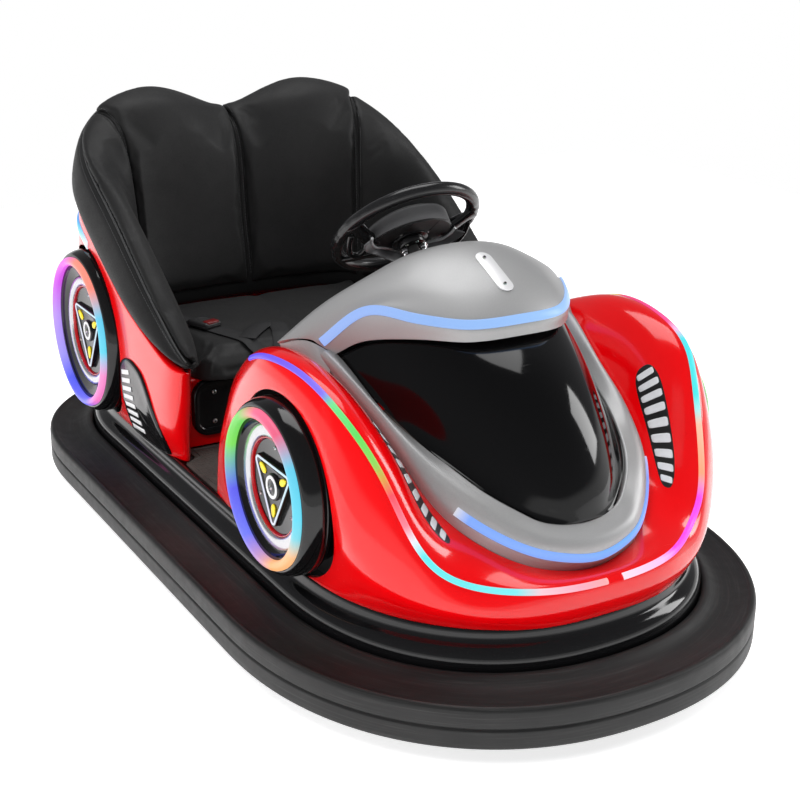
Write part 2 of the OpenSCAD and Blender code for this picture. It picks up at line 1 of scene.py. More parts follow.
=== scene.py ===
import math
import bpy
import bmesh
import numpy as np
from mathutils import Vector, Matrix


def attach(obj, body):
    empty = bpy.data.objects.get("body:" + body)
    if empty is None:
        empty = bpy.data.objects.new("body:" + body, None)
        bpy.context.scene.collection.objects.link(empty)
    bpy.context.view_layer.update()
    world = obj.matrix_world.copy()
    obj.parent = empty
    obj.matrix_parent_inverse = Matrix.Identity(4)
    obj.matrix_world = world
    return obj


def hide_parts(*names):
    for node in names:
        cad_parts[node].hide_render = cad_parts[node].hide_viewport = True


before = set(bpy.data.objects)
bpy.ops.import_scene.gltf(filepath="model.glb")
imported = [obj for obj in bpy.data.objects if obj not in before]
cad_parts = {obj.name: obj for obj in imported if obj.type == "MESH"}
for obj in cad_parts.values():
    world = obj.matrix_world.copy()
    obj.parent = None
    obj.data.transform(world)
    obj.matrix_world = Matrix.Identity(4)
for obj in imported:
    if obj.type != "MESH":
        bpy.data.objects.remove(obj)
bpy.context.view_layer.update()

SC = bpy.context.scene
MM = 0.001

# ------------------------------------------------------------------ camera
def make_camera():
    az, el, roll, dist = -31.19, 20.19, 0.97, 2.998
    target = Vector((0.0026, -0.137, 0.366))
    a, e, r = map(math.radians, (az, el, roll))
    back = Vector((math.sin(a) * math.cos(e), -math.cos(a) * math.cos(e), math.sin(e)))
    right = Vector((math.cos(a), math.sin(a), 0.0))
    up = back.cross(right)
    r2 = math.cos(r) * right + math.sin(r) * up
    u2 = -math.sin(r) * right + math.cos(r) * up
    cam = bpy.data.cameras.new("camera")
    cam.lens = 36.0 * 1434.8 / 800.0
    cam.sensor_width = 36.0
    cam.clip_start, cam.clip_end = 0.05, 200.0
    ob = bpy.data.objects.new("camera", cam)
    m = Matrix((r2, u2, back)).transposed().to_4x4()
    m.translation = target + back * dist
    ob.matrix_world = m
    SC.collection.objects.link(ob)
    SC.camera = ob
make_camera()

# ------------------------------------------------------------------ curves and surfaces
def cr(P, n, closed=False):
    """Smooth curve through P (first axis), n steps between neighbours."""
    P = np.asarray(P, float)
    m = len(P)
    out = []
    for i in range(m if closed else m - 1):
        b, c = P[i], P[(i + 1) % m]
        if closed:
            a, d = P[(i - 1) % m], P[(i + 2) % m]
        else:
            a = P[i - 1] if i > 0 else 2 * b - c
            d = P[i + 2] if i + 2 < m else 2 * c - b
        for k in range(n):
            t = k / n
            out.append(0.5 * ((2 * b) + (c - a) * t + (2 * a - 5 * b + 4 * c - d) * t * t + (3 * b - a - 3 * c + d) * t ** 3))
    if not closed:
        out.append(P[-1])
    return np.array(out)

def net(rows, nu, nv):
    A = cr(np.asarray(rows, float), nu)
    return np.swapaxes(cr(np.swapaxes(A, 0, 1), nv), 0, 1)

FL = np.array([-1.0, 1.0, 1.0])
def both(rows):
    """Half rows (row 0 on the middle plane) to whole rows, from -X to +X."""
    R = np.asarray(rows, float)
    return np.concatenate([(R[:0:-1]) * FL, R], 0)

def both_cols(rows):
    R = np.asarray(rows, float)
    return np.concatenate([(R[:, :0:-1]) * FL, R], 1)

def resample(P, n):
    """n points evenly spaced by length along the open polyline P."""
    P = np.asarray(P, float)
    s = np.concatenate([[0], np.cumsum(np.linalg.norm(np.diff(P, axis=0), axis=1))])
    t = np.linspace(0, s[-1], n)
    return np.stack([np.interp(t, s, P[:, k]) for k in range(P.shape[1])], 1)

def normals_of(G):
    du = np.gradient(G, axis=0)
    dv = np.gradient(G, axis=1)
    n = np.cross(du, dv)
    return n / np.maximum(np.linalg.norm(n, axis=2, keepdims=True), 1e-12)

def mesh_object(name, verts, faces, mat=None, smooth=True, uvs=None, sharp=None):
    me = bpy.data.meshes.new(name)
    me.from_pydata([tuple(map(float, v)) for v in verts], [], [tuple(map(int, f)) for f in faces])
    me.validate(clean_customdata=False)
    ob = bpy.data.objects.new(name, me)
    SC.collection.objects.link(ob)
    if smooth:
        me.polygons.foreach_set("use_smooth", [True] * len(me.polygons))
    if uvs is not None:
        lay = me.uv_layers.new(name="UVMap")
        idx = np.zeros(len(me.loops), np.int32)
        me.loops.foreach_get("vertex_index", idx)
        lay.data.foreach_set("uv", np.asarray(uvs, float)[idx].ravel())
    if sharp is not None:
        me.set_sharp_from_angle(angle=math.radians(sharp))
    if mat is not None:
        me.materials.append(mat)
    return ob

def grid_object(name, G, mat=None, cu=False, cv=False, uv=None, sharp=None):
    """Mesh from a net of points; normals along d(row) x d(column)."""
    m, n = G.shape[:2]
    idx = np.arange(m * n).reshape(m, n)
    iu = np.arange(m if cu else m - 1)
    iv = np.arange(n if cv else n - 1)
    a = idx[iu][:, iv]
    b = idx[(iu + 1) % m][:, iv]
    c = idx[(iu + 1) % m][:, (iv + 1) % n]
    d = idx[iu][:, (iv + 1) % n]
    F = np.stack([a, b, c, d], -1).reshape(-1, 4)
    if uv is None:
        su = np.concatenate([[0], np.cumsum(np.linalg.norm(np.diff(G, axis=0), axis=2).mean(1))])
        sv = np.concatenate([[0], np.cumsum(np.linalg.norm(np.diff(G, axis=1), axis=2).mean(0))])
        uv = np.stack(np.meshgrid(su, sv, indexing="ij"), -1)
    return mesh_object(name, G.reshape(-1, 3), F, mat, uvs=uv.reshape(-1, 2), sharp=sharp)

def add_mod(ob, kind, **kw):
    m = ob.modifiers.new(kind.lower(), kind)
    for k, v in kw.items():
        setattr(m, k, v)
    return m

def apply_mods(ob):
    dg = bpy.context.evaluated_depsgraph_get()
    dg.update()
    me = bpy.data.meshes.new_from_object(ob.evaluated_get(dg), preserve_all_data_layers=True, depsgraph=dg)
    old = ob.data
    ob.modifiers.clear()
    ob.data = me
    bpy.data.meshes.remove(old)
    return ob

def shell(name, G, th, mat, edge=0.0016, cut=(), segs=2):
    """A panel of real thickness under the net G with rounded rims; cut is a list of cutter objects."""
    ob = grid_object(name, G, mat)
    add_mod(ob, "SOLIDIFY", thickness=th, offset=-1.0, use_even_offset=False)
    for c in cut:
        add_mod(ob, "BOOLEAN", operation="DIFFERENCE", object=c, solver="MANIFOLD")
    if cut:
        apply_mods(ob)
        ob.data.polygons.foreach_set("use_smooth", [True] * len(ob.data.polygons))
    if edge:
        add_mod(ob, "BEVEL", width=edge, segments=segs, limit_method="ANGLE", angle_limit=math.radians(50), harden_normals=False)
    apply_mods(ob)
    ob.data.polygons.foreach_set("use_smooth", [True] * len(ob.data.polygons))
    ob.data.set_sharp_from_angle(angle=math.radians(50))
    return ob

def cyl_cutter(name, r, x0, x1, y, z, n=96):
    V, F = [], []
    for i in range(n):
        a = 2 * math.pi * i / n
        V.append((x0, y + r * math.cos(a), z + r * math.sin(a)))
    for i in range(n):
        a = 2 * math.pi * i / n
        V.append((x1, y + r * math.cos(a), z + r * math.sin(a)))
    for i in range(n):
        F.append((i, (i + 1) % n, n + (i + 1) % n, n + i))
    F.append(tuple(range(n - 1, -1, -1)))
    F.append(tuple(range(n, 2 * n)))
    ob = mesh_object(name, V, F, smooth=False)
    bm = bmesh.new(); bm.from_mesh(ob.data); bmesh.ops.recalc_face_normals(bm, faces=bm.faces); bm.to_mesh(ob.data); bm.free()
    return ob

def drop(ob):
    me = ob.data
    bpy.data.objects.remove(ob)
    if me.users == 0:
        bpy.data.meshes.remove(me)

def sweep(name, path, prof, mat=None, closed=False, up=None, cap=True, uvk=1.0, sharp=None, scale=None):
    """prof (k,2) closed section swept along path; up gives the section's second axis at each point."""
    P = np.asarray(path, float)
    n = len(P)
    T = (np.roll(P, -1, 0) - np.roll(P, 1, 0)) if closed else np.gradient(P, axis=0)
    T /= np.linalg.norm(T, axis=1, keepdims=True)
    if up is None:
        up = np.array([0, 0, 1.0])
    U = np.broadcast_to(np.asarray(up, float), P.shape)
    S = np.cross(T, U); S /= np.linalg.norm(S, axis=1, keepdims=True)
    W = np.cross(S, T)
    pr = np.asarray(prof, float)
    sc = np.ones(n) if scale is None else np.asarray(scale, float)
    G = P[:, None, :] + (pr[None, :, 0, None] * S[:, None, :] + pr[None, :, 1, None] * W[:, None, :]) * sc[:, None, None]
    k = len(pr)
    idx = np.arange(n * k).reshape(n, k)
    F = []
    for i in range(n if closed else n - 1):
        for j in range(k):
            F.append((idx[i, j], idx[(i + 1) % n, j], idx[(i + 1) % n, (j + 1) % k], idx[i, (j + 1) % k]))
    if not closed and cap:
        F.append(tuple(idx[0, :]))
        F.append(tuple(idx[-1, ::-1]))
    s = np.concatenate([[0], np.cumsum(np.linalg.norm(np.diff(P, axis=0), axis=1))])
    v = np.concatenate([[0], np.cumsum(np.linalg.norm(np.diff(pr, axis=0), axis=1))])
    uv = np.stack(np.meshgrid(s * uvk, v * uvk, indexing="ij"), -1).reshape(-1, 2)
    ob = mesh_object(name, G.reshape(-1, 3), F, mat, uvs=uv, sharp=None)
    bm = bmesh.new(); bm.from_mesh(ob.data); bmesh.ops.recalc_face_normals(bm, faces=bm.faces); bm.to_mesh(ob.data); bm.free()
    if sharp:
        ob.data.set_sharp_from_angle(angle=math.radians(sharp))
    return ob

def circle_prof(r, k=16, a0=0.0):
    t = a0 + np.linspace(0, 2 * math.pi, k, endpoint=False)
    return np.stack([r * np.cos(t), r * np.sin(t)], 1)

def tube(name, path, r, mat, k=14, closed=False, up=None, scale=None):
    return sweep(name, path, circle_prof(r, k), mat, closed=closed, up=up, scale=scale)

def lathe(name, prof, mat=None, n=96, axis="Z", sharp=40, close=True):
    """prof: list of (r, h); revolved about the axis; a closed outline gives a solid."""
    P = np.asarray(prof, float)
    k = len(P)
    V, F = [], []
    for i in range(n):
        a = 2 * math.pi * i / n
        c, s = math.cos(a), math.sin(a)
        for r, h in P:
            V.append((r * c, r * s, h))
    for i in range(n):
        for j in range(k if close else k - 1):
            a, b = i * k + j, i * k + (j + 1) % k
            c, d = ((i + 1) % n) * k + (j + 1) % k, ((i + 1) % n) * k + j
            F.append((a, d, c, b))
    su = np.linspace(0, 1, n)
    ob = mesh_object(name, V, F, mat)
    bm = bmesh.new(); bm.from_mesh(ob.data)
    bmesh.ops.remove_doubles(bm, verts=bm.verts, dist=1e-6)
    bmesh.ops.dissolve_degenerate(bm, edges=bm.edges, dist=1e-7)
    bmesh.ops.recalc_face_normals(bm, faces=bm.faces)
    bm.to_mesh(ob.data); bm.free()
    ob.data.polygons.foreach_set("use_smooth", [True] * len(ob.data.polygons))
    ob.data.set_sharp_from_angle(angle=math.radians(sharp))
    return ob

def place(ob, m):
    ob.data.transform(m)
    ob.data.update()
    return ob

def join(name, obs, mat=None):
    """One mesh object from several, keeping their materials."""
    bpy.ops.object.select_all(action="DESELECT")
    for o in obs:
        o.select_set(True)
    bpy.context.view_layer.objects.active = obs[0]
    bpy.ops.object.join()
    ob = bpy.context.view_layer.objects.active
    ob.name = name
    ob.data.name = name
    ob.select_set(False)
    return ob

def bevel_box(name, lo, hi, mat, r=0.003, segs=3):
    lo, hi = Vector(lo), Vector(hi)
    bm = bmesh.new()
    bmesh.ops.create_cube(bm, size=1.0)
    for v in bm.verts:
        v.co = Vector([lo[k] + (v.co[k] + 0.5) * (hi[k] - lo[k]) for k in range(3)])
    bmesh.ops.bevel(bm, geom=list(bm.edges), offset=r, segments=segs, profile=0.5, affect="EDGES", clamp_overlap=True)
    me = bpy.data.meshes.new(name)
    bm.to_mesh(me); bm.free()
    me.polygons.foreach_set("use_smooth", [True] * len(me.polygons))
    me.set_sharp_from_angle(angle=math.radians(35))
    ob = bpy.data.objects.new(name, me)
    SC.collection.objects.link(ob)
    if mat:
        me.materials.append(mat)
    return ob

def paint(ob, colors, name="Col"):
    """colors: (nverts, 3) per vertex."""
    me = ob.data
    att = me.color_attributes.new(name=name, type="FLOAT_COLOR", domain="POINT")
    c = np.ones((len(me.vertices), 4)); c[:, :3] = colors
    att.data.foreach_set("color", c.ravel())

def verts_of(ob):
    co = np.zeros(len(ob.data.vertices) * 3)
    ob.data.vertices.foreach_get("co", co)
    return co.reshape(-1, 3)

def put(ob, body, slot, *nodes):
    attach(ob, body)
    if nodes:
        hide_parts(*nodes)
    return ob

# ------------------------------------------------------------------ materials
class NT:
    def __init__(self, name):
        self.mat = bpy.data.materials.new(name)
        self.mat.use_nodes = True
        self.t = self.mat.node_tree
        self.t.nodes.clear()
        self.out = self.n("ShaderNodeOutputMaterial")
        self.b = self.n("ShaderNodeBsdfPrincipled")
        self.l(self.b.outputs[0], self.out.inputs[0])
        self.coord = self.n("ShaderNodeTexCoord")
    def n(self, kind, **kw):
        x = self.t.nodes.new(kind)
        for k, v in kw.items():
            setattr(x, k, v)
        return x
    def l(self, a, b):
        self.t.links.new(a, b)
    def set(self, **kw):
        for k, v in kw.items():
            s = self.b.inputs[k.replace("_", " ")]
            s.default_value = (*v, 1.0) if isinstance(v, (tuple, list)) and len(v) == 3 and s.type == "RGBA" else v
    def vec(self, scale=(1, 1, 1), src="Object"):
        m = self.n("ShaderNodeMapping")
        m.inputs["Scale"].default_value = scale
        self.l(self.coord.outputs[src], m.inputs["Vector"])
        return m.outputs[0]
    def noise(self, scale, detail=3.0, rough=0.55, vec=None, dist=0.0):
        x = self.n("ShaderNodeTexNoise")
        x.inputs["Scale"].default_value = scale
        x.inputs["Detail"].default_value = detail
        x.inputs["Roughness"].default_value = rough
        x.inputs["Distortion"].default_value = dist
        self.l(vec if vec is not None else self.coord.outputs["Object"], x.inputs["Vector"])
        return x.outputs["Fac"]
    def voronoi(self, scale, feature="F1", vec=None, rand=1.0, out="Distance"):
        x = self.n("ShaderNodeTexVoronoi", feature=feature)
        x.inputs["Scale"].default_value = scale
        x.inputs["Randomness"].default_value = rand
        self.l(vec if vec is not None else self.coord.outputs["Object"], x.inputs["Vector"])
        return x.outputs[out]
    def ramp(self, fac, stops):
        r = self.n("ShaderNodeValToRGB")
        el = r.color_ramp.elements
        while len(el) > 1:
            el.remove(el[-1])
        el[0].position, c = stops[0]
        el[0].color = (c, c, c, 1) if not isinstance(c, (tuple, list)) else (*c, 1)
        for p, c in stops[1:]:
            e = el.new(p)
            e.color = (c, c, c, 1) if not isinstance(c, (tuple, list)) else (*c, 1)
        self.l(fac, r.inputs[0])
        return r.outputs[0]
    def math(self, op, a, b=None, clamp=False):
        x = self.n("ShaderNodeMath", operation=op, use_clamp=clamp)
        for i, v in enumerate((a, b)):
            if v is None:
                continue
            if isinstance(v, (int, float)):
                x.inputs[i].default_value = v
            else:
                self.l(v, x.inputs[i])
        return x.outputs[0]
    def mix(self, fac, a, b):
        x = self.n("ShaderNodeMix", data_type="RGBA")
        for s, v in ((0, fac), (6, a), (7, b)):
            if isinstance(v, (int, float)):
                x.inputs[s].default_value = v
            elif isinstance(v, (tuple, list)):
                x.inputs[s].default_value = (*v, 1)
            else:
                self.l(v, x.inputs[s])
        return x.outputs[2]
    def bump(self, height, strength, dist, normal=None, to=("Normal",)):
        x = self.n("ShaderNodeBump")
        x.inputs["Strength"].default_value = strength
        x.inputs["Distance"].default_value = dist
        self.l(height, x.inputs["Height"])
        if normal is not None:
            self.l(normal, x.inputs["Normal"])
        for t in to:
            self.l(x.outputs[0], self.b.inputs[t])
        return x.outputs[0]
    def color(self, c):
        self.l(c, self.b.inputs["Base Color"])
    def rough(self, c):
        self.l(c, self.b.inputs["Roughness"])

def m_gloss(name, col, rough=0.08, peel=0.35, dust=0.05, coat=0.0, spec=0.5, ior=1.5):
    """Polished gel coat: slight orange peel, faint smears in the gloss, a few dust specks and hairline scratches."""
    m = NT(name)
    m.set(Metallic=0.0, IOR=ior, Specular_IOR_Level=spec, Coat_Weight=coat, Coat_Roughness=0.03)
    smear = m.noise(9.0, 4.0, 0.6)
    fine = m.noise(70.0, 3.0, 0.6)
    scr = m.noise(1.0, 2.0, 0.5, m.vec((14.0, 420.0, 90.0)))
    r = m.math("ADD", m.math("MULTIPLY", smear, rough * 1.1), rough * 0.45)
    r = m.math("ADD", r, m.math("MULTIPLY", m.ramp(scr, [(0.0, 0.0), (0.66, 0.0), (0.74, 1.0)]), 0.10))
    m.rough(r)
    d = m.ramp(m.noise(420.0, 2.0, 0.7), [(0.0, 0.0), (0.70, 0.0), (0.80, 1.0)])
    d = m.math("MULTIPLY", d, dust)
    tint = m.mix(m.ramp(smear, [(0.3, 0.0), (0.7, 1.0)]), tuple(c * 0.93 for c in col), col)
    m.color(m.mix(d, tint, (0.45, 0.44, 0.42)))
    m.bump(m.noise(260.0, 2.0, 0.5), peel * 0.12, 0.0006, to=("Normal", "Coat Normal"))
    return m.mat

MAT = {}
def build_materials():
    M = MAT
    M["red"] = m_gloss("red_gelcoat", (0.78, 0.0, 0.002), rough=0.16, coat=0.5, spec=0.30)
    M["black_gloss"] = m_gloss("black_gelcoat", (0.0045, 0.0045, 0.005), rough=0.09, spec=0.45, dust=0.10)
    M["hood_black"] = m_gloss("hood_gloss", (0.0015, 0.0015, 0.0017), rough=0.08, spec=0.34, peel=0.15, dust=0.03)
    # silver metallic lacquer with fine flake
    m = NT("silver_lacquer")
    m.set(Metallic=0.45, Coat_Weight=0.25, Coat_Roughness=0.22, Specular_IOR_Level=0.4)
    fl = m.voronoi(1500.0, out="Color")
    flg = m.ramp(fl, [(0.0, 0.34), (1.0, 0.42)])
    cl = m.noise(3.0, 3.0, 0.5)
    m.color(m.mix(m.ramp(cl, [(0.35, 0.0), (0.7, 1.0)]), flg, m.mix(0.5, flg, (0.36, 0.36, 0.365))))
    m.rough(m.math("ADD", m.math("MULTIPLY", m.noise(24.0, 4.0), 0.12), 0.40))
    m.bump(m.noise(240.0, 2.0), 0.03, 0.0006)
    M["silver"] = m.mat
    # moulded rubber, scuffed along its length (UV: along the ring, across the section, in metres)
    m = NT("rubber_bumper")
    m.set(Specular_IOR_Level=0.35)
    uvs = m.vec((6.0, 260.0, 1.0), "UV")
    st = m.noise(1.0, 5.0, 0.65, uvs)
    st2 = m.noise(1.0, 4.0, 0.6, m.vec((2.2, 900.0, 1.0), "UV"))
    big = m.noise(5.0, 4.0, 0.6)
    base = m.mix(m.ramp(big, [(0.3, 0.0), (0.75, 1.0)]), (0.0085, 0.0085, 0.0088), (0.0165, 0.0162, 0.016))
    base = m.mix(m.math("MULTIPLY", m.ramp(st, [(0.52, 0.0), (0.80, 1.0)]), 0.55), base, (0.06, 0.059, 0.057))
    base = m.mix(m.math("MULTIPLY", m.ramp(st2, [(0.64, 0.0), (0.72, 1.0)]), 0.5), base, (0.085, 0.083, 0.08))
    m.color(base)
    m.rough(m.math("ADD", m.math("MULTIPLY", m.noise(40.0, 4.0), 0.22), 0.40))
    h = m.math("ADD", m.math("MULTIPLY", st, 0.5), m.math("MULTIPLY", m.noise(600.0, 3.0), 0.5))
    m.bump(h, 0.25, 0.0012)
    M["rubber"] = m.mat
    # black artificial leather
    m = NT("leather_black")
    m.set(Specular_IOR_Level=0.40, Sheen_Weight=0.03, Sheen_Roughness=0.5)
    g = m.voronoi(620.0, "SMOOTH_F1")
    g2 = m.voronoi(1500.0, "F1")
    wr = m.noise(26.0, 5.0, 0.65, dist=0.6)
    big = m.noise(4.5, 3.0, 0.5)
    m.color(m.mix(m.ramp(big, [(0.3, 0.0), (0.7, 1.0)]), (0.0048, 0.0048, 0.0050), (0.0090, 0.0089, 0.0090)))
    m.rough(m.math("ADD", m.math("MULTIPLY", m.noise(30.0, 4.0), 0.20), m.math("ADD", m.math("MULTIPLY", g, 0.35), 0.36)))
    h = m.math("ADD", m.math("MULTIPLY", g, 0.7), m.math("MULTIPLY", g2, 0.3))
    n1 = m.bump(h, 0.32, 0.0005, to=())
    m.bump(wr, 0.12, 0.0022, normal=n1)
    M["leather"] = m.mat
    m = NT("thread_grey")
    m.set(Specular_IOR_Level=0.3)
    w = m.noise(1800.0, 2.0)
    m.color(m.mix(w, (0.05, 0.05, 0.052), (0.11, 0.11, 0.115)))
    m.rough(m.math("ADD", m.math("MULTIPLY", w, 0.2), 0.55))
    m.bump(w, 0.3, 0.0003)
    M["thread"] = m.mat
    # powder coated steel
    m = NT("powder_coat_black")
    m.set(Specular_IOR_Level=0.4)
    big = m.noise(6.0, 5.0, 0.65)
    chip = m.ramp(m.noise(38.0, 5.0, 0.7), [(0.0, 0.0), (0.665, 0.0), (0.69, 1.0)])
    m.color(m.mix(m.math("MULTIPLY", chip, 0.7), m.mix(big, (0.014, 0.014, 0.015), (0.032, 0.031, 0.03)), (0.12, 0.08, 0.055)))
    m.rough(m.math("ADD", m.math("MULTIPLY", big, 0.25), 0.38))
    m.bump(m.noise(900.0, 2.0), 0.3, 0.0003)
    M["powder"] = m.mat
    # zinc plated steel
    m = NT("zinc_steel")
    m.set(Metallic=1.0)
    sp = m.voronoi(160.0, out="Color")
    m.color(m.mix(m.ramp(m.noise(14.0, 4.0), [(0.3, 0.0), (0.7, 1.0)]), (0.42, 0.42, 0.41), m.mix(0.35, (0.56, 0.56, 0.57), sp)))
    m.rough(m.math("ADD", m.math("MULTIPLY", m.noise(60.0, 5.0), 0.28), 0.22))
    m.bump(m.noise(500.0, 3.0), 0.08, 0.0003)
    M["zinc"] = m.mat
    # cast aluminium hub
    m = NT("cast_aluminium")
    m.set(Metallic=1.0)
    m.color(m.mix(m.noise(20.0, 4.0), (0.40, 0.40, 0.41), (0.60, 0.60, 0.61)))
    m.rough(m.math("ADD", m.math("MULTIPLY", m.noise(50.0, 4.0), 0.2), 0.34))
    m.bump(m.noise(420.0, 4.0, 0.7), 0.4, 0.0005)
    M["cast"] = m.mat
    # chrome
    m = NT("chrome")
    m.set(Metallic=1.0)
    m.color(m.mix(m.noise(30.0, 3.0), (0.72, 0.72, 0.73), (0.80, 0.80, 0.81)))
    m.rough(m.math("ADD", m.math("MULTIPLY", m.noise(80.0, 4.0), 0.08), 0.04))
    M["chrome"] = m.mat
    # brushed white-ish plate
    m = NT("brushed_plate")
    m.set(Metallic=0.35, Specular_IOR_Level=0.5)
    br = m.noise(1.0, 3.0, 0.6, m.vec((2200.0, 60.0, 2200.0)))
    m.color(m.mix(br, (0.70, 0.70, 0.71), (0.86, 0.86, 0.87)))
    m.rough(m.math("ADD", m.math("MULTIPLY", br, 0.22), 0.26))
    m.bump(br, 0.12, 0.0002)
    M["plate"] = m.mat
    # textured black plastic
    m = NT("plastic_black")
    m.set(Specular_IOR_Level=0.45)
    big = m.noise(8.0, 4.0)
    m.color(m.mix(big, (0.011, 0.011, 0.0115), (0.020, 0.020, 0.021)))
    m.rough(m.math("ADD", m.math("MULTIPLY", m.noise(45.0, 4.0), 0.18), 0.36))
    m.bump(m.noise(1100.0, 2.0), 0.35, 0.0003)
    M["plastic"] = m.mat
    # solid rubber tyre of the running wheels
    m = NT("tyre_rubber")
    m.set(Specular_IOR_Level=0.3)
    d = m.ramp(m.noise(26.0, 5.0, 0.7), [(0.35, 0.0), (0.8, 1.0)])
    m.color(m.mix(m.math("MULTIPLY", d, 0.6), (0.018, 0.018, 0.019), (0.085, 0.08, 0.072)))
    m.rough(m.math("ADD", m.math("MULTIPLY", d, 0.2), 0.6))
    m.bump(m.noise(500.0, 3.0), 0.4, 0.0005)
    M["tyre"] = m.mat
    # pebbled floor mat
    m = NT("floor_mat")
    m.set(Specular_IOR_Level=0.35)
    pb = m.voronoi(190.0, "SMOOTH_F1")
    dirt = m.noise(9.0, 5.0, 0.7)
    m.color(m.mix(m.ramp(dirt, [(0.3, 0.0), (0.75, 1.0)]), m.mix(pb, (0.050, 0.043, 0.040), (0.022, 0.019, 0.018)), (0.085, 0.074, 0.066)))
    m.rough(m.math("ADD", m.math("MULTIPLY", dirt, 0.25), 0.5))
    m.bump(pb, 0.9, 0.0022)
    M["mat"] = m.mat
    # lit strips: colour painted along the strip, whitened a little at random
    m = NT("light_strip")
    at = m.n("ShaderNodeAttribute", attribute_name="Col")
    nz = m.noise(220.0, 2.0)
    m.color(m.mix(0.92, at.outputs["Color"], (0.02, 0.02, 0.02)))
    m.l(m.mix(m.math("MULTIPLY", nz, 0.05), at.outputs["Color"], (1.0, 1.0, 1.0)), m.b.inputs["Emission Color"])
    m.set(Emission_Strength=0.95, Roughness=0.3, Specular_IOR_Level=0.2)
    M["light"] = m.mat
    # decals
    def decal(name, c0, c1, rough=0.3):
        d = NT(name)
        nz = d.noise(60.0, 4.0)
        d.color(d.mix(nz, c0, c1))
        d.rough(d.math("ADD", d.math("MULTIPLY", nz, 0.15), rough))
        d.bump(d.noise(500.0, 2.0), 0.05, 0.0003)
        return d.mat
    M["decal_white"] = decal("decal_white", (0.70, 0.70, 0.71), (0.82, 0.82, 0.83))
    M["decal_grey"] = decal("decal_lens", (0.52, 0.53, 0.55), (0.70, 0.71, 0.73))
    # this black is the louvre fields' and seam lines' own colour, and also painted shade in screw hex sockets and the
    # buckle's tongue slot
    M["black_decal_and_hole_shade"] = decal("black_decal_and_hole_shade", (0.006, 0.006, 0.006), (0.012, 0.012, 0.012))
    M["yellow"] = decal("yellow_mark", (0.85, 0.62, 0.02), (0.95, 0.75, 0.03), 0.35)
    M["red_part"] = decal("red_plastic", (0.10, 0.003, 0.003), (0.16, 0.006, 0.006), 0.3)
    M["webbing"] = decal("webbing_black", (0.008, 0.008, 0.0085), (0.018, 0.018, 0.019), 0.6)
build_materials()

# ------------------------------------------------------------------ shared shapes (metres)
BL, BW, BT = 1.954, 1.052, 0.104
SF, SR = -0.410, 0.488
POW = (2.2, 2.29)

def plan(n=400):
    """The bumper's outline in plan, anticlockwise seen from above, evenly spaced."""
    hw, hl = BW / 2, BL / 2
    sg = lambda v, p: np.sign(v) * np.abs(v) ** p
    a = np.linspace(0, math.pi, 800)
    rear = np.stack([hw * sg(np.cos(a), 2 / POW[1]), SR + (hl - SR) * sg(np.sin(a), 2 / POW[1])], 1)
    b = a + math.pi
    front = np.stack([hw * sg(np.cos(b), 2 / POW[0]), SF + (hl + SF) * sg(np.sin(b), 2 / POW[0])], 1)
    P = np.concatenate([rear, front, rear[:1]])
    s = np.concatenate([[0], np.cumsum(np.linalg.norm(np.diff(P, axis=0), axis=1))])
    keep = np.concatenate([[True], np.diff(s) > 1e-9])
    P, s = P[keep], s[keep]
    t = np.linspace(0, s[-1], n, endpoint=False)
    return np.stack([np.interp(t, s, P[:, 0]), np.interp(t, s, P[:, 1])], 1)

def smooth_loop(P, it=6):
    for _ in range(it):
        P = 0.25 * np.roll(P, 1, 0) + 0.5 * P + 0.25 * np.roll(P, -1, 0)
    return P

def hoop(name, sec, mat, n=420, sub=4, sharp=40):
    """A closed ring with the section [[inset, height], ...] in mm; the section's points are joined smoothly."""
    v = smooth_loop(plan(n))
    t = np.roll(v, -1, 0) - np.roll(v, 1, 0)
    t /= np.linalg.norm(t, axis=1, keepdims=True)
    nrm = np.stack([t[:, 1], -t[:, 0]], 1)
    sc = np.asarray(sec, float) * MM
    G = np.zeros((n, len(sc), 3))
    for j, (d, z) in enumerate(sc):
        q = v - d * nrm
        if d > 0.02:
            q = smooth_loop(q, 4)
        G[:, j, 0], G[:, j, 1], G[:, j, 2] = q[:, 0], q[:, 1], z
    su = np.concatenate([[0], np.cumsum(np.linalg.norm(np.diff(v, axis=0), axis=1))])
    sv = np.concatenate([[0], np.cumsum(np.linalg.norm(np.diff(sc, axis=0), axis=1))])
    uv = np.stack(np.meshgrid(su, sv, indexing="ij"), -1)
    ob = grid_object(name, G, mat, cu=True, cv=True, uv=uv)
    bm = bmesh.new(); bm.from_mesh(ob.data); bmesh.ops.recalc_face_normals(bm, faces=bm.faces); bm.to_mesh(ob.data); bm.free()
    ob.data.set_sharp_from_angle(angle=math.radians(sharp))
    return ob

def arc(cx, cy, r, a0, a1, n):
    t = np.radians(np.linspace(a0, a1, n))
    return [[cx + r * math.cos(x), cy + r * math.sin(x)] for x in t]

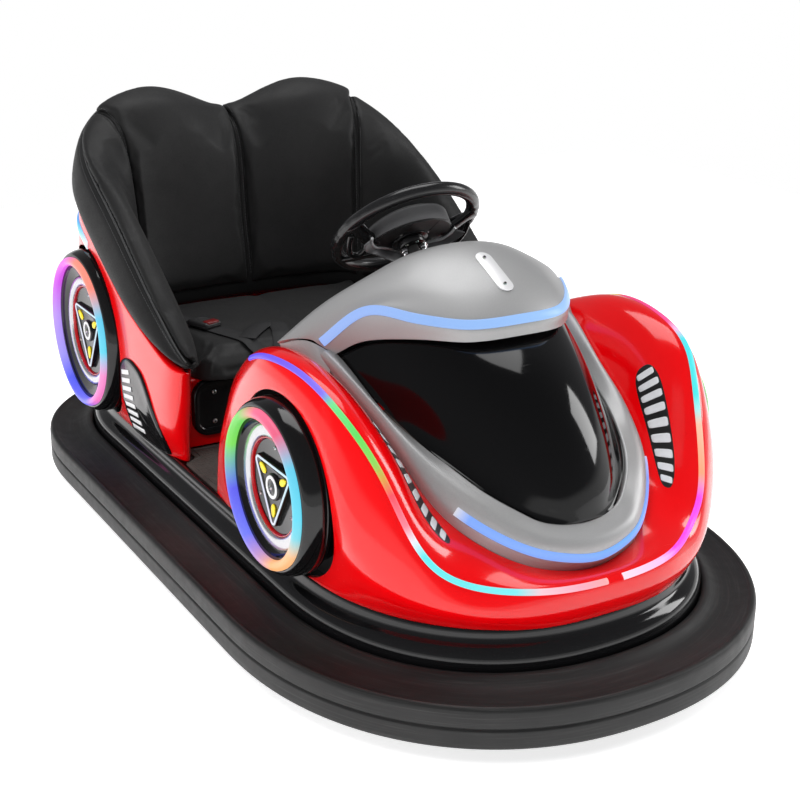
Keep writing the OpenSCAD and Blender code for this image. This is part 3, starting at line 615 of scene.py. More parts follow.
# ------------------------------------------------------------------ bumper
def build_bumper():
    sec = (
        arc(7, 58, 7, 265, 180, 6) + [[0, 64], [0, 84]] +
        [[0.3, 86.0], [1.2, 87.6], [2.6, 88.6], [3.2, 90.0], [2.6, 91.4], [1.2, 92.4], [0.3, 94.0]] +
        [[0, 97], [0.2, 118], [0.9, 122.5], [2.4, 126.2], [5.0, 128.7], [8.5, 129.8], [11.5, 129.6], [13.2, 128.6], [15.0, 127.3], [18.0, 126.6]] +
        [[26, 125.0], [36, 123.9], [48, 123.4], [58, 123.9], [66, 125.2], [73, 127.4], [79, 130.4]] +
        [[84, 133.6], [88, 136.2], [92, 138.2], [96, 139.2], [100, 138.6], [102.6, 136.6], [104, 133.0]] +
        [[104.3, 126], [104.3, 60], [103, 55.5], [98, 53.0], [60, 53.0], [30, 53.0]])
    put(hoop("bumper_rubber", sec, MAT["rubber"], n=460), "car", "rubber_black", "bumper_ring")
    # the gloss black base under the rubber ring, as one hoop
    b = hoop("base_gloss", (
        [[107.5, 112], [106.5, 122], [106.0, 132], [105.8, 142]] +
        [[106.2, 149], [107.4, 156], [109.6, 162], [112.8, 167], [117.0, 171.2], [121.6, 174.4], [126.0, 177.0]] +
        [[129.2, 179.4], [131.2, 182.4], [132.4, 187.0], [133.2, 192.0], [134.4, 197.5], [136.8, 201.4], [141.5, 203.4]] +
        [[146, 202.6], [148.6, 199.6], [150.2, 196.6], [152, 195.1], [160, 194.8], [174, 194.8], [174, 150], [174, 112], [166, 112], [166, 186.5], [150, 187.5], [134, 180], [120, 168], [112, 150], [112, 112]]),
        MAT["black_gloss"], n=420)
    return b

def plate_with_holes(name, outline, z0, z1, cutters, mat, r=0.0015):
    n = len(outline)
    V = [(x, y, z0) for x, y in outline] + [(x, y, z1) for x, y in outline]
    F = [tuple(range(n - 1, -1, -1)), tuple(range(n, 2 * n))] + [(i, (i + 1) % n, n + (i + 1) % n, n + i) for i in range(n)]
    ob = mesh_object(name, V, F, mat, smooth=False)
    for c in cutters:
        add_mod(ob, "BOOLEAN", operation="DIFFERENCE", object=c, solver="EXACT")
    apply_mods(ob)
    if r:
        add_mod(ob, "BEVEL", width=r, segments=2, limit_method="ANGLE", angle_limit=math.radians(40))
        apply_mods(ob)
    ob.data.set_sharp_from_angle(angle=math.radians(40))
    return ob

def inset_plan(d, n=200):
    v = smooth_loop(plan(n))
    t = np.roll(v, -1, 0) - np.roll(v, 1, 0)
    t /= np.linalg.norm(t, axis=1, keepdims=True)
    return smooth_loop(v - d * np.stack([t[:, 1], -t[:, 0]], 1), 6)

def build_base():
    ring = build_bumper()
    cuts = []
    c = lathe("c0", [(0.0, 0.16), (0.027, 0.16), (0.027, 0.22), (0.0, 0.22)], None, n=64, close=True)
    place(c, Matrix.Translation((0, -0.49, 0))); cuts.append(c)
    fl = plate_with_holes("base_floor", inset_plan(0.1705), 0.183, 0.195, cuts, MAT["plastic"])
    for c in cuts:
        drop(c)
    # the base hoop and the floor plate go onto the car
    put(ring, "car", "base_black", "base_pan")
    put(fl, "car", "base_black", "base_pan")

# ------------------------------------------------------------------ front body tables (millimetres, half, +X side)
FRONT = [
  [[0, -848, 204], [0, -857, 230], [0, -857, 252], [0, -852, 270], [0, -834, 277], [0, -797, 268]],
  [[130, -836, 204], [136, -846, 230], [137, -846, 254], [137, -838, 275], [130, -816, 283], [112, -774, 287]],
  [[235, -782, 204], [246, -797, 235], [249, -791, 262], [246, -774, 285], [225, -752, 304], [187, -712, 323]],
  [[315, -700, 204], [338, -725, 260], [331, -729, 305], [310, -729, 340], [276, -700, 364], [228, -641, 368]],
  [[362, -610, 204], [397, -655, 320], [384, -660, 412], [350, -655, 474], [305, -628, 474], [247, -567, 428]],
  [[385, -530, 206], [413, -575, 400], [409, -579, 490], [384, -580, 556], [330, -555, 548], [256, -500, 466]],
  [[392, -440, 206], [418, -470, 420], [418, -470, 530], [397, -468, 592], [340, -455, 586], [264, -440, 497]],
  [[395, -340, 206], [418, -350, 400], [420, -348, 520], [405, -345, 589], [350, -338, 594], [284, -366, 536]],
  [[390, -150, 206], [408, -190, 350], [408, -212, 470], [390, -232, 546], [354, -225, 560], [326, -240, 566]],
  [[382, -58, 206], [392, -95, 320], [391, -132, 410], [378, -152, 488], [352, -158, 508], [326, -165, 516]]]
FRAME = [
  [[0, -797, 268], [0, -814, 298], [0, -808, 328], [0, -776, 346]],
  [[85, -785, 280], [86, -797, 311], [84, -790, 338], [74, -761, 354]],
  [[140, -755, 297], [145, -757, 331], [140, -749, 358], [120, -732, 376]],
  [[195, -701, 331], [197, -699, 364], [185, -696, 392], [159, -686, 402]],
  [[230, -635, 371], [231, -638, 402], [216, -636, 426], [187, -630, 430]],
  [[250, -550, 437], [250, -555, 458], [237, -558, 470], [211, -557, 458]],
  [[261, -464, 486], [261, -468, 503], [251, -470, 512], [232, -466, 493]],
  [[280, -368, 538], [280, -372, 552], [270, -374, 560], [250, -370, 550]],
  [[288, -330, 560], [287, -332, 570], [276, -334, 576], [258, -330, 570]]]
PANEL = [
  [[0, -540, 622], [98, -520, 618], [162, -456, 614], [214, -372, 594], [250, -338, 565]],
  [[0, -553, 616], [98, -532, 612], [164, -466, 609], [216, -382, 588], [247, -352, 560]],
  [[0, -622, 582], [98, -595, 574], [163, -530, 560], [209, -450, 543], [237, -415, 520]],
  [[0, -685, 529], [92, -660, 517], [152, -600, 502], [197, -530, 488], [221, -499, 479]],
  [[0, -735, 465], [80, -714, 452], [133, -668, 443], [176, -611, 439], [198, -586, 445]],
  [[0, -763, 403], [55, -754, 396], [98, -728, 392], [136, -698, 393], [156, -682, 402]],
  [[0, -773, 348], [25, -772, 349], [47, -768, 350], [66, -761, 353], [83, -752, 359]]]
COWL = [
  [[0, -318, 742], [90, -308, 728], [170, -290, 690], [250, -262, 640], [328, -236, 572]],
  [[0, -365, 753], [90, -352, 739], [170, -328, 702], [252, -292, 650], [330, -256, 580]],
  [[0, -430, 738], [90, -415, 727], [165, -385, 700], [238, -335, 658], [314, -284, 590]],
  [[0, -505, 702], [92, -484, 698], [156, -436, 686], [216, -372, 660], [294, -306, 591]],
  [[0, -554, 656], [98, -537, 654], [165, -472, 657], [220, -378, 656], [284, -320, 584]],
  [[0, -560, 627], [98, -541, 623], [168, -474, 620], [224, -384, 600], [262, -340, 567]]]
REAR = [
  [[0, 846, 205], [0, 858, 330], [0, 856, 500], [0, 814, 692]],
  [[190, 832, 205], [198, 845, 330], [200, 842, 500], [192, 802, 690]],
  [[305, 765, 205], [325, 780, 330], [328, 778, 500], [318, 746, 683]],
  [[375, 655, 205], [402, 665, 330], [410, 664, 480], [405, 644, 670]],
  [[396, 500, 205], [424, 505, 320], [430, 504, 440], [430, 491, 626]],
  [[398, 340, 205], [426, 340, 300], [432, 336, 400], [434, 325, 532]],
  [[396, 225, 205], [422, 205, 290], [430, 185, 380], [432, 160, 472]],
  [[380, 150, 205], [406, 120, 285], [418, 90, 360], [424, 62, 440]],
  [[366, 128, 205], [377, 98, 285], [385, 68, 355], [393, 42, 432]],
  [[352, 150, 205], [358, 130, 285], [362, 110, 355], [366, 96, 425]]]
SHOW_X = 0.455
SHOW = [(-0.428, 0.372, 0.148), (0.538, 0.395, 0.173)]

def relax(G, it, u=True, v=True):
    """Even out a net without moving its borders."""
    G = G.copy()
    for _ in range(it):
        if u:
            G[1:-1] = 0.25 * G[:-2] + 0.5 * G[1:-1] + 0.25 * G[2:]
        if v:
            G[:, 1:-1] = 0.25 * G[:, :-2] + 0.5 * G[:, 1:-1] + 0.25 * G[:, 2:]
    return G

def body_net(tab, nu, nv, it=10):
    return relax(net(both(np.array(tab, float) * MM), nu, nv), it)

def hem(G, side, w, depth, n=5):
    """Extra rows of points that roll a border over inwards: side 'v0' or 'v1'."""
    N = normals_of(G)
    edge = G[:, 0] if side == "v0" else G[:, -1]
    nx = N[:, 0] if side == "v0" else N[:, -1]
    inw = (G[:, 0] - G[:, 2]) if side == "v0" else (G[:, -1] - G[:, -3])
    inw /= np.linalg.norm(inw, axis=1, keepdims=True)
    rows = []
    for k in range(1, n + 1):
        a = math.pi / 2 * k / n
        rows.append(edge + inw * w * math.sin(a) - nx * w * (1 - math.cos(a)))
    rows.append(edge + inw * w - nx * (w + depth))
    R = np.stack(rows, 1)
    return np.concatenate([R[:, ::-1], G], 1) if side == "v0" else np.concatenate([G, R], 1)

def build_front():
    G = body_net(FRONT, 14, 12, 14)
    cuts = []
    for s in (-1, 1):
        y, z, r = SHOW[0]
        a, b = sorted((s * 0.335, s * 0.56))
        cuts.append(cyl_cutter("cut", r + 0.026, a, b, y, z, 160))
    G2 = hem(G, "v0", 0.003, 0.010)
    ob = shell("front_shell", G2, 0.004, MAT["red"], edge=0.0022, cut=cuts, segs=3)
    for c in cuts:
        drop(c)
    put(ob, "car", "body_red", "front_body")
    return G

def nearest_uv(G, p):
    d = np.linalg.norm(G - np.asarray(p), axis=2)
    return np.unravel_index(np.argmin(d), d.shape)

def ribbon(name, P, N, w, h, cols, slot, node, round_=True, edge_dark=0.0):
    """A lit strip of half-round section on the line P with normals N; cols is [(t, (r,g,b)), ...] along it."""
    P, N = np.asarray(P, float), np.asarray(N, float)
    t = np.linspace(0, math.pi, 9)
    prof = np.stack([w / 2 * np.cos(t), h * np.sin(t) ** 0.7 + 0.0], 1)
    prof = np.concatenate([prof, [[-w / 2, -0.002], [w / 2, -0.002]]])
    ob = sweep(name, P, prof, MAT["light"], up=N, cap=True)
    s = np.concatenate([[0], np.cumsum(np.linalg.norm(np.diff(P, axis=0), axis=1))]); s /= s[-1]
    tt = np.array([c[0] for c in cols]); cc = np.array([c[1] for c in cols], float)
    k = len(prof)
    col = np.stack([np.interp(s, tt, cc[:, q]) for q in range(3)], 1)
    col = np.repeat(col, k, 0)
    paint(ob, col)
    put(ob, "car", slot, node)
    return ob

def along(G, rowf, colf, n=160, off=0.0):
    """Points and outward normals on a net along fractional rows rowf and columns colf."""
    Nn = normals_of(G)
    a = np.linspace(0, 1, n)
    r = np.interp(a, np.linspace(0, 1, len(rowf)), rowf)
    c = np.interp(a, np.linspace(0, 1, len(colf)), colf)
    def samp(A):
        i = np.clip(r.astype(int), 0, A.shape[0] - 2); j = np.clip(c.astype(int), 0, A.shape[1] - 2)
        u = (r - i)[:, None]; v = (c - j)[:, None]
        return (1 - u) * (1 - v) * A[i, j] + u * (1 - v) * A[i + 1, j] + (1 - u) * v * A[i, j + 1] + u * v * A[i + 1, j + 1]
    P, N = samp(G), samp(Nn)
    N /= np.linalg.norm(N, axis=1, keepdims=True)
    return P + off * N, N

def srgb(r, g, b):
    f = lambda c: ((c / 255 + 0.055) / 1.055) ** 2.4 if c / 255 > 0.04045 else c / 255 / 12.92
    return (f(r), f(g), f(b))

def build_front_trim(G):
    m = (G.shape[0] - 1) // 2           # middle row
    nu, nv = 14, 12
    # left fender strip, rows 0 (nose) to 9 (rear end)
    L = [(0.00, srgb(255, 225, 240)), (0.10, srgb(255, 190, 240)), (0.15, srgb(250, 60, 235)), (0.32, srgb(245, 60, 240)), (0.35, srgb(255, 150, 190)),
         (0.37, srgb(255, 165, 120)), (0.47, srgb(255, 195, 165)), (0.50, srgb(170, 240, 240)), (0.53, srgb(60, 235, 235)), (0.66, srgb(70, 230, 240)),
         (0.69, srgb(250, 190, 235)), (0.72, srgb(250, 70, 150)), (0.88, srgb(235, 60, 120)), (0.92, srgb(200, 230, 80)), (1.0, srgb(150, 235, 90))]
    P, N = along(G, [m + 2.5, m + nu * 2.6, m + nu * 5.2, m + nu * 7.75], [nv * 3, nv * 3.08, nv * 3.14, nv * 3.15], off=0.0005)
    ribbon("fender_strip_left", P, N, 0.0125, 0.0036, L, "light_multi", "fender_light_left")
    R = [(0.00, srgb(255, 170, 170)), (0.06, srgb(255, 170, 190)), (0.13, srgb(255, 200, 210)), (0.18, srgb(120, 235, 240)), (0.36, srgb(95, 235, 240)),
         (0.39, srgb(235, 240, 250)), (0.42, srgb(255, 130, 150)), (0.48, srgb(250, 70, 90)), (0.51, srgb(225, 160, 60)), (0.54, srgb(140, 215, 80)), (0.60, srgb(90, 225, 90)),
         (0.67, srgb(110, 230, 140)), (0.70, srgb(130, 110, 250)), (0.84, srgb(110, 80, 245)), (1.0, srgb(90, 70, 240))]
    P, N = along(G, [m - 1.0, m - nu * 7.75], [nv * 3, nv * 3], off=0.0005)
    ribbon("fender_strip_right", P, N, 0.0115, 0.0036, R, "light_multi", "fender_light_right")

def build_hood():
    F = body_net(FRAME, 14, 12, 8)
    F2 = hem(hem(F, "v0", 0.0025, 0.012), "v1", 0.004, 0.014)
    ob = shell("hood_surround", F2, 0.0035, MAT["silver"], edge=0)
    put(ob, "car", "silver_paint", "hood_frame")
    m = (F.shape[0] - 1) // 2
    P, N = along(F, [m - 14 * 3.35, m, m + 14 * 3.55], [12 * 1.0] * 3, n=200, off=0.0005)
    B = srgb(125, 170, 250)
    ribbon("nose_strip", P, N, 0.017, 0.003, [(0, srgb(215, 215, 225)), (0.05, srgb(120, 165, 250)), (0.4, B), (0.62, srgb(110, 175, 255)), (0.9, srgb(120, 150, 250)), (1, srgb(190, 190, 235))], "light_blue", "nose_light")
    A = relax(net(both_cols(np.array(PANEL, float) * MM), 12, 10), 14)
    ob = shell("hood_glass", A, 0.004, MAT["hood_black"], edge=0.0012)
    put(ob, "car", "hood_black", "hood_panel")
    C = net(both_cols(np.array(COWL, float) * MM), 12, 10)
    C = relax(C, 3)
    ob = shell("cowl_shell", C, 0.005, MAT["silver"], edge=0.0028, segs=3)
    put(ob, "car", "silver_paint", "cowl")
    n = C.shape[1] - 1
    P, N = along(C, [12 * 4.0] * 2, [0.6, n - 0.6], n=220, off=0.0008)
    ribbon("cowl_strip", P, N, 0.018, 0.003, [(0, srgb(150, 180, 245)), (0.3, srgb(140, 180, 240)), (0.6, srgb(150, 195, 250)), (0.85, srgb(165, 195, 250)), (1, srgb(150, 150, 245))], "light_blue", "cowl_light")
    # blank plate with two small screws, lying on the cowl's middle line
    v0 = nearest_uv(C, (0, -0.430, 0.74)); 
    mid = n // 2
    rows = [i for i in range(C.shape[0]) if -0.512 < C[i, mid, 1] < -0.418]
    Nn = normals_of(C)
    a, b = Vector(C[rows[0], mid]), Vector(C[rows[-1], mid])
    cen, dr = (a + b) / 2, (b - a).normalized()
    nz = Vector(sum(Nn[i, mid] for i in rows)).normalized()
    xx = dr.cross(nz).normalized(); nz = xx.cross(dr).normalized()
    M = Matrix((xx, dr, nz)).transposed().to_4x4(); M.translation = cen
    L2 = 0.038
    pts = []
    for k in range(24):
        t = math.pi * k / 23
        pts.append((0.0165 * math.cos(t), L2 + 0.0165 * math.sin(t)))
    for k in range(24):
        t = math.pi + math.pi * k / 23
        pts.append((0.0165 * math.cos(t), -L2 + 0.0165 * math.sin(t)))
    pl = plate_with_holes("cowl_plate_blank", pts, 0.0005, 0.0042, [], MAT["plate"], r=0.0012)
    scr = []
    for s in (-1, 1):
        q = lathe("q", [(0, 0.0072), (0.0012, 0.0071), (0.0026, 0.0066), (0.0034, 0.0056), (0.0036, 0.0042), (0.0036, 0.0036), (0, 0.0036)], MAT["zinc"], n=32, close=False)
        place(q, Matrix.Translation((0, s * L2, 0)))
        scr.append(q)
        # black hexagon on each screw head: painted shade standing in for the hex socket
        q = lathe("q", [(0, 0.00745), (0.0027, 0.0074), (0.0027, 0.0056), (0, 0.0056)], MAT["black_decal_and_hole_shade"], n=6, close=False)
        place(q, Matrix.Translation((0, s * L2, 0)))
        scr.append(q)
    pl = join("cowl_plate_blank", [pl] + scr)
    place(pl, M)
    put(pl, "car", "plate_white", "cowl_plate")
    return F, A, C

# ------------------------------------------------------------------ rear body
def build_rear():
    tab = np.array(REAR, float)[:, ::-1]
    G = relax(net(both(tab * MM), 12, 14), 10)
    cuts = []
    for s in (-1, 1):
        y, z, r = SHOW[1]
        a, b = sorted((s * 0.335, s * 0.56))
        cuts.append(cyl_cutter("cut", r + 0.025, a, b, y, z, 160))
    c = lathe("cut", [(0, 0.7), (0.014, 0.7), (0.014, 0.95), (0, 0.95)], None, n=48)
    place(c, Matrix.Translation((0, 0, 0.3)) @ Matrix.Rotation(math.radians(-90), 4, "X")); cuts.append(c)
    G2 = hem(hem(G, "v0", 0.004, 0.012), "v1", 0.003, 0.010)
    ob = shell("rear_shell", G2, 0.004, MAT["red"], edge=0.0022, cut=cuts, segs=3)
    for c in cuts:
        drop(c)
    put(ob, "car", "body_red", "rear_body")
    # seat box: the riser and the lid under the cushion, with a rolled front edge
    a = bevel_box("seat_riser", (-0.342, 0.205, 0.200), (0.342, 0.213, 0.354), MAT["red"], r=0.003)
    b = bevel_box("seat_lid", (-0.342, 0.203, 0.350), (0.342, 0.640, 0.358), MAT["red"], r=0.004)
    c = bevel_box("seat_rear", (-0.310, 0.587, 0.200), (0.310, 0.595, 0.3505), MAT["red"], r=0.002)
    put(join("seat_box_panels", [a, b, c]), "car", "body_red", "seat_box")
    # battery cover: a moulded panel with a raised rim, a recess and four screws
    def pill(hx, hz, r, n=20):
        P = []
        for cx, cz, a0 in ((hx, hz, 0), (-hx, hz, 90), (-hx, -hz, 180), (hx, -hz, 270)):
            for k in range(n + 1):
                t = math.radians(a0 + 90 * k / n)
                P.append((cx + r * math.cos(t), cz + r * math.sin(t)))
        return P
    rings = []
    prof = [(0.000, 0.0855), (0.0, 0.0925), (0.0015, 0.0960), (0.0045, 0.0980), (0.008, 0.0985), (0.012, 0.0975), (0.0145, 0.0950), (0.017, 0.0940), (0.030, 0.0938)]
    V, F = [], []
    n0 = None
    for d, h in prof:
        r = max(0.040 - d, 0.004)
        P = pill(0.284, 0.026, r)
        if n0 is None:
            n0 = len(P)
        rings.append(len(V))
        V += [(x, 0.2905 - h, 0.291 + z) for x, z in P]
    for i in range(len(prof) - 1):
        for j in range(n0):
            a, b = rings[i] + j, rings[i] + (j + 1) % n0
            c, d = rings[i + 1] + (j + 1) % n0, rings[i + 1] + j
            F.append((a, b, c, d))
    F.append(tuple(rings[-1] + j for j in range(n0)))
    F.append(tuple(rings[0] + j for j in range(n0 - 1, -1, -1)))
    cov = mesh_object("cover", V, F, MAT["black_gloss"])
    bm = bmesh.new(); bm.from_mesh(cov.data); bmesh.ops.recalc_face_normals(bm, faces=bm.faces); bm.to_mesh(cov.data); bm.free()
    cov.data.set_sharp_from_angle(angle=math.radians(35))
    bits = [cov]
    for x in (-0.272, 0.272):
        for z in (0.257, 0.325):
            bits.append(screw((x, 0.1967, z), (0, -1, 0), 0.0055))
    # finger pull in the middle
    bits.append(bevel_box("pull", (-0.045, 0.1888, 0.284), (0.045, 0.1972, 0.298), MAT["plastic"], r=0.003))
    put(join("battery_cover_panel", bits), "car", "base_black", "battery_cover")
    return G

def screw(at, axis, r, mat=None, drive="hex"):
    """A button-head screw with a hexagon recess, its floor painted black as shade for the socket's depth; axis points
    out of the surface.
    """
    mat = mat or MAT["zinc"]
    h = r * 0.55
    q = lathe("screw", [(0, h * 0.55), (r * 0.42, h * 0.55), (r * 0.42, h * 0.98), (r * 0.5, h), (r * 0.72, h * 0.86), (r * 0.9, h * 0.5), (r, h * 0.12), (r, -0.0008), (0, -0.0008)], mat, n=28, close=False)
    # black hexagon at the recess floor: painted shade standing in for the depth of the hex socket
    hex_socket_shade = lathe("screw_hex_socket_shade", [(0, h * 0.56), (r * 0.40, h * 0.56), (r * 0.40, h * 0.60), (0, h * 0.60)], MAT["black_decal_and_hole_shade"], n=6, close=False)
    ob = join("screw", [q, hex_socket_shade])
    z = Vector(axis).normalized()
    M = z.to_track_quat("Z", "Y").to_matrix().to_4x4(); M.translation = Vector(at)
    return place(ob, M)

def bolt(at, axis, r=0.008, h=0.0055, mat=None, washer=True, nut=False):
    """A hexagon head on a washer."""
    mat = mat or MAT["zinc"]
    bits = []
    if washer:
        bits.append(lathe("w", [(0, 0.0), (r * 1.55, 0.0), (r * 1.6, 0.0004), (r * 1.6, 0.0014), (r * 1.5, 0.0018), (0, 0.0018)], mat, n=32, close=False))
    z0 = 0.0018 if washer else 0.0
    hx = lathe("h", [(0, z0), (r * 1.08, z0), (r * 1.08, z0 + h * 0.86), (r * 0.92, z0 + h), (0, z0 + h)], mat, n=6, close=False, sharp=20)
    bits.append(hx)
    if nut:
        bits.append(lathe("t", [(0, z0 + h), (r * 0.55, z0 + h), (r * 0.55, z0 + h * 1.5), (r * 0.45, z0 + h * 1.65), (0, z0 + h * 1.65)], mat, n=20, close=False))
    ob = join("bolt", bits)
    z = Vector(axis).normalized()
    M = z.to_track_quat("Z", "Y").to_matrix().to_4x4(); M.translation = Vector(at)
    return place(ob, M)

# ------------------------------------------------------------------ show wheels
def build_show_wheels():
    tyres, rims, lights_ = [], [], []
    for s in (-1, 1):
        for wi, (y, z, r) in enumerate(SHOW):
            # local frame: +z out of the car's side
            z_ax = Vector((s, 0, 0)); x_ax = Vector((0, 1, 0)) if s > 0 else Vector((0, -1, 0)); y_ax = Vector((0, 0, 1))
            M = Matrix((x_ax, y_ax, z_ax)).transposed().to_4x4(); M.translation = Vector((s * SHOW_X, y, z))
            t = lathe("tyre", [(r + 0.0006, -0.0020), (r + 0.0032, -0.0019), (r + 0.0062, -0.0035), (r + 0.0092, -0.0070), (r + 0.0120, -0.0125), (r + 0.0142, -0.0190), (r + 0.0155, -0.0265),
                (r + 0.0160, -0.0340), (r + 0.0160, -0.0400), (r + 0.0151, -0.0412), (r + 0.0151, -0.0438), (r + 0.0159, -0.0450), (r + 0.0150, -0.0515), (r + 0.0115, -0.0560), (r + 0.0060, -0.0578), (r + 0.0006, -0.0580)], MAT["tyre_gloss"], n=140)
            tyres.append(place(t, M))
            ln = lathe("ring", [(r - 0.0100 + 0.0097 * math.cos(2 * math.pi * k / 24), 0.0097 * math.sin(2 * math.pi * k / 24)) for k in range(24)], MAT["light"], n=180)
            v = verts_of(ln)
            ang = (np.degrees(np.arctan2(v[:, 1], v[:, 0])) + 360) % 360   # 0 = towards local x, 90 = up
            stops = RING_COLS[wi]
            a = np.array([q[0] for q in stops] + [stops[0][0] + 360.0]); c = np.array([q[1] for q in stops] + [stops[0][1]], float)
            aa = np.where(ang < a[0], ang + 360, ang)
            paint(ln, np.stack([np.interp(aa, a, c[:, k]) for k in range(3)], 1))
            lights_.append(place(ln, M))
            rims += [place(o, M) for o in show_rim(r, wi, s)]
    put(join("show_tyres_moulded", tyres), "car", "show_black", "show_tyres")
    put(join("show_rings_lit", lights_), "car", "light_multi", "show_light_rings")
    put(join("show_rims_moulded", rims), "car", "show_silver", "show_rims")

def show_rim(r, wi, s):
    """Black barrel, silver ring, thin red ring, flat disc with a three-sided plate, bright bars, marks and hub."""
    a, b = ((0.117, 0.092), (0.126, 0.105))[wi]
    zd = -0.0262
    out = []
    out.append(lathe("barrel", [(r - 0.0004, -0.0106), (r - 0.0195, -0.0103), (r - 0.0206, -0.0086), (r - 0.0222, -0.0088), (r - 0.0236, -0.0112), (a + 0.0040, -0.0178), (a + 0.0010, -0.0192),
        (a + 0.0004, -0.0205), (a + 0.0004, -0.0300), (a + 0.0060, -0.0420), (r - 0.0200, -0.0855), (r - 0.0004, -0.0858)], MAT["tyre_gloss"], n=140))
    out.append(lathe("silver_ring", [(a, -0.0190), (a - 0.0016, -0.0163), (a - 0.0050, -0.0150), (a - 0.0095, -0.0146), (b + 0.0075, -0.0150), (b + 0.0030, -0.0160), (b + 0.0008, -0.0180), (b, -0.0215), (b, -0.0300), (a, -0.0300)], MAT["silver_gloss"], n=140))
    out.append(lathe("red_ring", [(b - 0.0002, -0.0215), (b - 0.0012, -0.0200), (b - 0.0028, -0.0200), (b - 0.0040, -0.0218), (b - 0.0040, -0.0290), (b - 0.0002, -0.0290)], MAT["red_ring"], n=140))
    out.append(lathe("disc", [(b - 0.0042, -0.0290), (b - 0.0044, zd - 0.0004), (b - 0.0060, zd + 0.0006), (b - 0.0085, zd), (0.030, zd - 0.0012), (0.0, zd - 0.0012), (0.0, -0.0345), (a - 0.002, -0.0345), (a - 0.002, -0.0305), (b, -0.0305)], MAT["tyre_gloss"], n=140))
    dirs = [math.radians(270 + 120 * i) for i in range(3)]
    def tri(R, rr, n=14):
        P = []
        for a0 in dirs:
            c = Vector((math.cos(a0), math.sin(a0))) * (R - 2 * rr)
            for j in range(n + 1):
                t = a0 - math.radians(60) + math.radians(120) * j / n
                P.append((c.x + rr * math.cos(t), c.y + rr * math.sin(t)))
        return P
    R1 = b - 0.0050
    o0, o1, o2, o3 = tri(R1, 0.0100), tri(R1 - 0.0010, 0.0095), tri(R1 - 0.014, 0.006), tri(R1 - 0.022, 0.005)
    n = len(o0)
    lev = [(o0, zd - 0.0006), (o0, zd + 0.0052), (o1, zd + 0.0064), (o2, zd + 0.0064), (o3, zd + 0.0040)]
    V, F = [], []
    for P, h in lev:
        V += [(x, y, h) for x, y in P]
    for i in range(len(lev) - 1):
        for j in range(n):
            F.append((i * n + j, i * n + (j + 1) % n, (i + 1) * n + (j + 1) % n, (i + 1) * n + j))
    F.append(tuple((len(lev) - 1) * n + j for j in range(n))); F.append(tuple(j for j in range(n - 1, -1, -1)))
    ob = mesh_object("tri", V, F, MAT["tyre_gloss"])
    bm = bmesh.new(); bm.from_mesh(ob.data); bmesh.ops.recalc_face_normals(bm, faces=bm.faces); bm.to_mesh(ob.data); bm.free()
    ob.data.set_sharp_from_angle(angle=math.radians(28))
    out.append(ob)
    # bright bars along the three sides
    mid = np.array(tri(R1 - 0.0070, 0.0078))
    e = tube("edge_bars", np.concatenate([mid, np.full((len(mid), 1), zd + 0.0068)], 1), 0.0019, MAT["light"], k=8, closed=True, up=(0, 0, 1))
    v = verts_of(e); an = (np.degrees(np.arctan2(v[:, 1], v[:, 0])) + 360) % 360
    # top side at 90 degrees, the side towards local x at 330, the far side at 210
    st = [(30, srgb(215, 240, 250)), (90, srgb(150, 235, 250)), (150, srgb(225, 235, 250)), (210, srgb(200, 150, 240)), (270, srgb(235, 235, 250)), (330, srgb(150, 235, 250))]
    aa = np.array([q[0] for q in st] + [390.0]); c = np.array([q[1] for q in st] + [st[0][1]], float)
    paint(e, np.stack([np.interp(np.where(an < 30, an + 360, an), aa, c[:, q]) for q in range(3)], 1))
    out.append(e)
    k = b / 0.105
    for i, a0 in enumerate(dirs):
        lz = mesh_object("lozenge", *lozenge(0.030 * k, 0.0150 * k), MAT["yellow"])
        place(lz, Matrix.Rotation(a0 - math.pi / 2, 4, "Z") @ Matrix.Translation((0, 0.053 * k, zd + 0.0040)))
        out.append(lz)
        am = a0 + math.radians(60)
        out.append(screw((math.cos(am) * b * 0.80, math.sin(am) * b * 0.80, zd - 0.0002), (0, 0, 1), 0.0042))
    out.append(lathe("hub", [(0, zd + 0.0100), (0.0060, zd + 0.0098), (0.0100, zd + 0.0086), (0.0125, zd + 0.0080), (0.0150, zd + 0.0084), (0.0225, zd + 0.0084), (0.0245, zd + 0.0072), (0.0255, zd + 0.0045), (0.0258, zd), (0, zd)], MAT["tyre_gloss"], n=72, close=False))
    out.append(lathe("hub_ring", [(0.0152, zd + 0.0080), (0.0158, zd + 0.0096), (0.0172, zd + 0.0102), (0.0198, zd + 0.0102), (0.0212, zd + 0.0096), (0.0218, zd + 0.0080)], MAT["decal_white"], n=72))
    out.append(screw((0, 0, zd + 0.0096), (0, 0, 1), 0.0052))
    return out

def lozenge(L, w):
    n = 28
    V = []
    for lev, (k, h) in enumerate(((1.0, 0.0), (1.0, 0.0022), (0.86, 0.0034))):
        for i in range(n):
            t = 2 * math.pi * i / n
            V.append((w / 2 * k * math.cos(t) * (1 - 0.25 * math.sin(t)), L / 2 * k * math.sin(t), h))
    F = []
    for l in range(2):
        for i in range(n):
            F.append((l * n + i, l * n + (i + 1) % n, (l + 1) * n + (i + 1) % n, (l + 1) * n + i))
    F.append(tuple(2 * n + i for i in range(n)))
    F.append(tuple(n - 1 - i for i in range(n)))
    return V, F

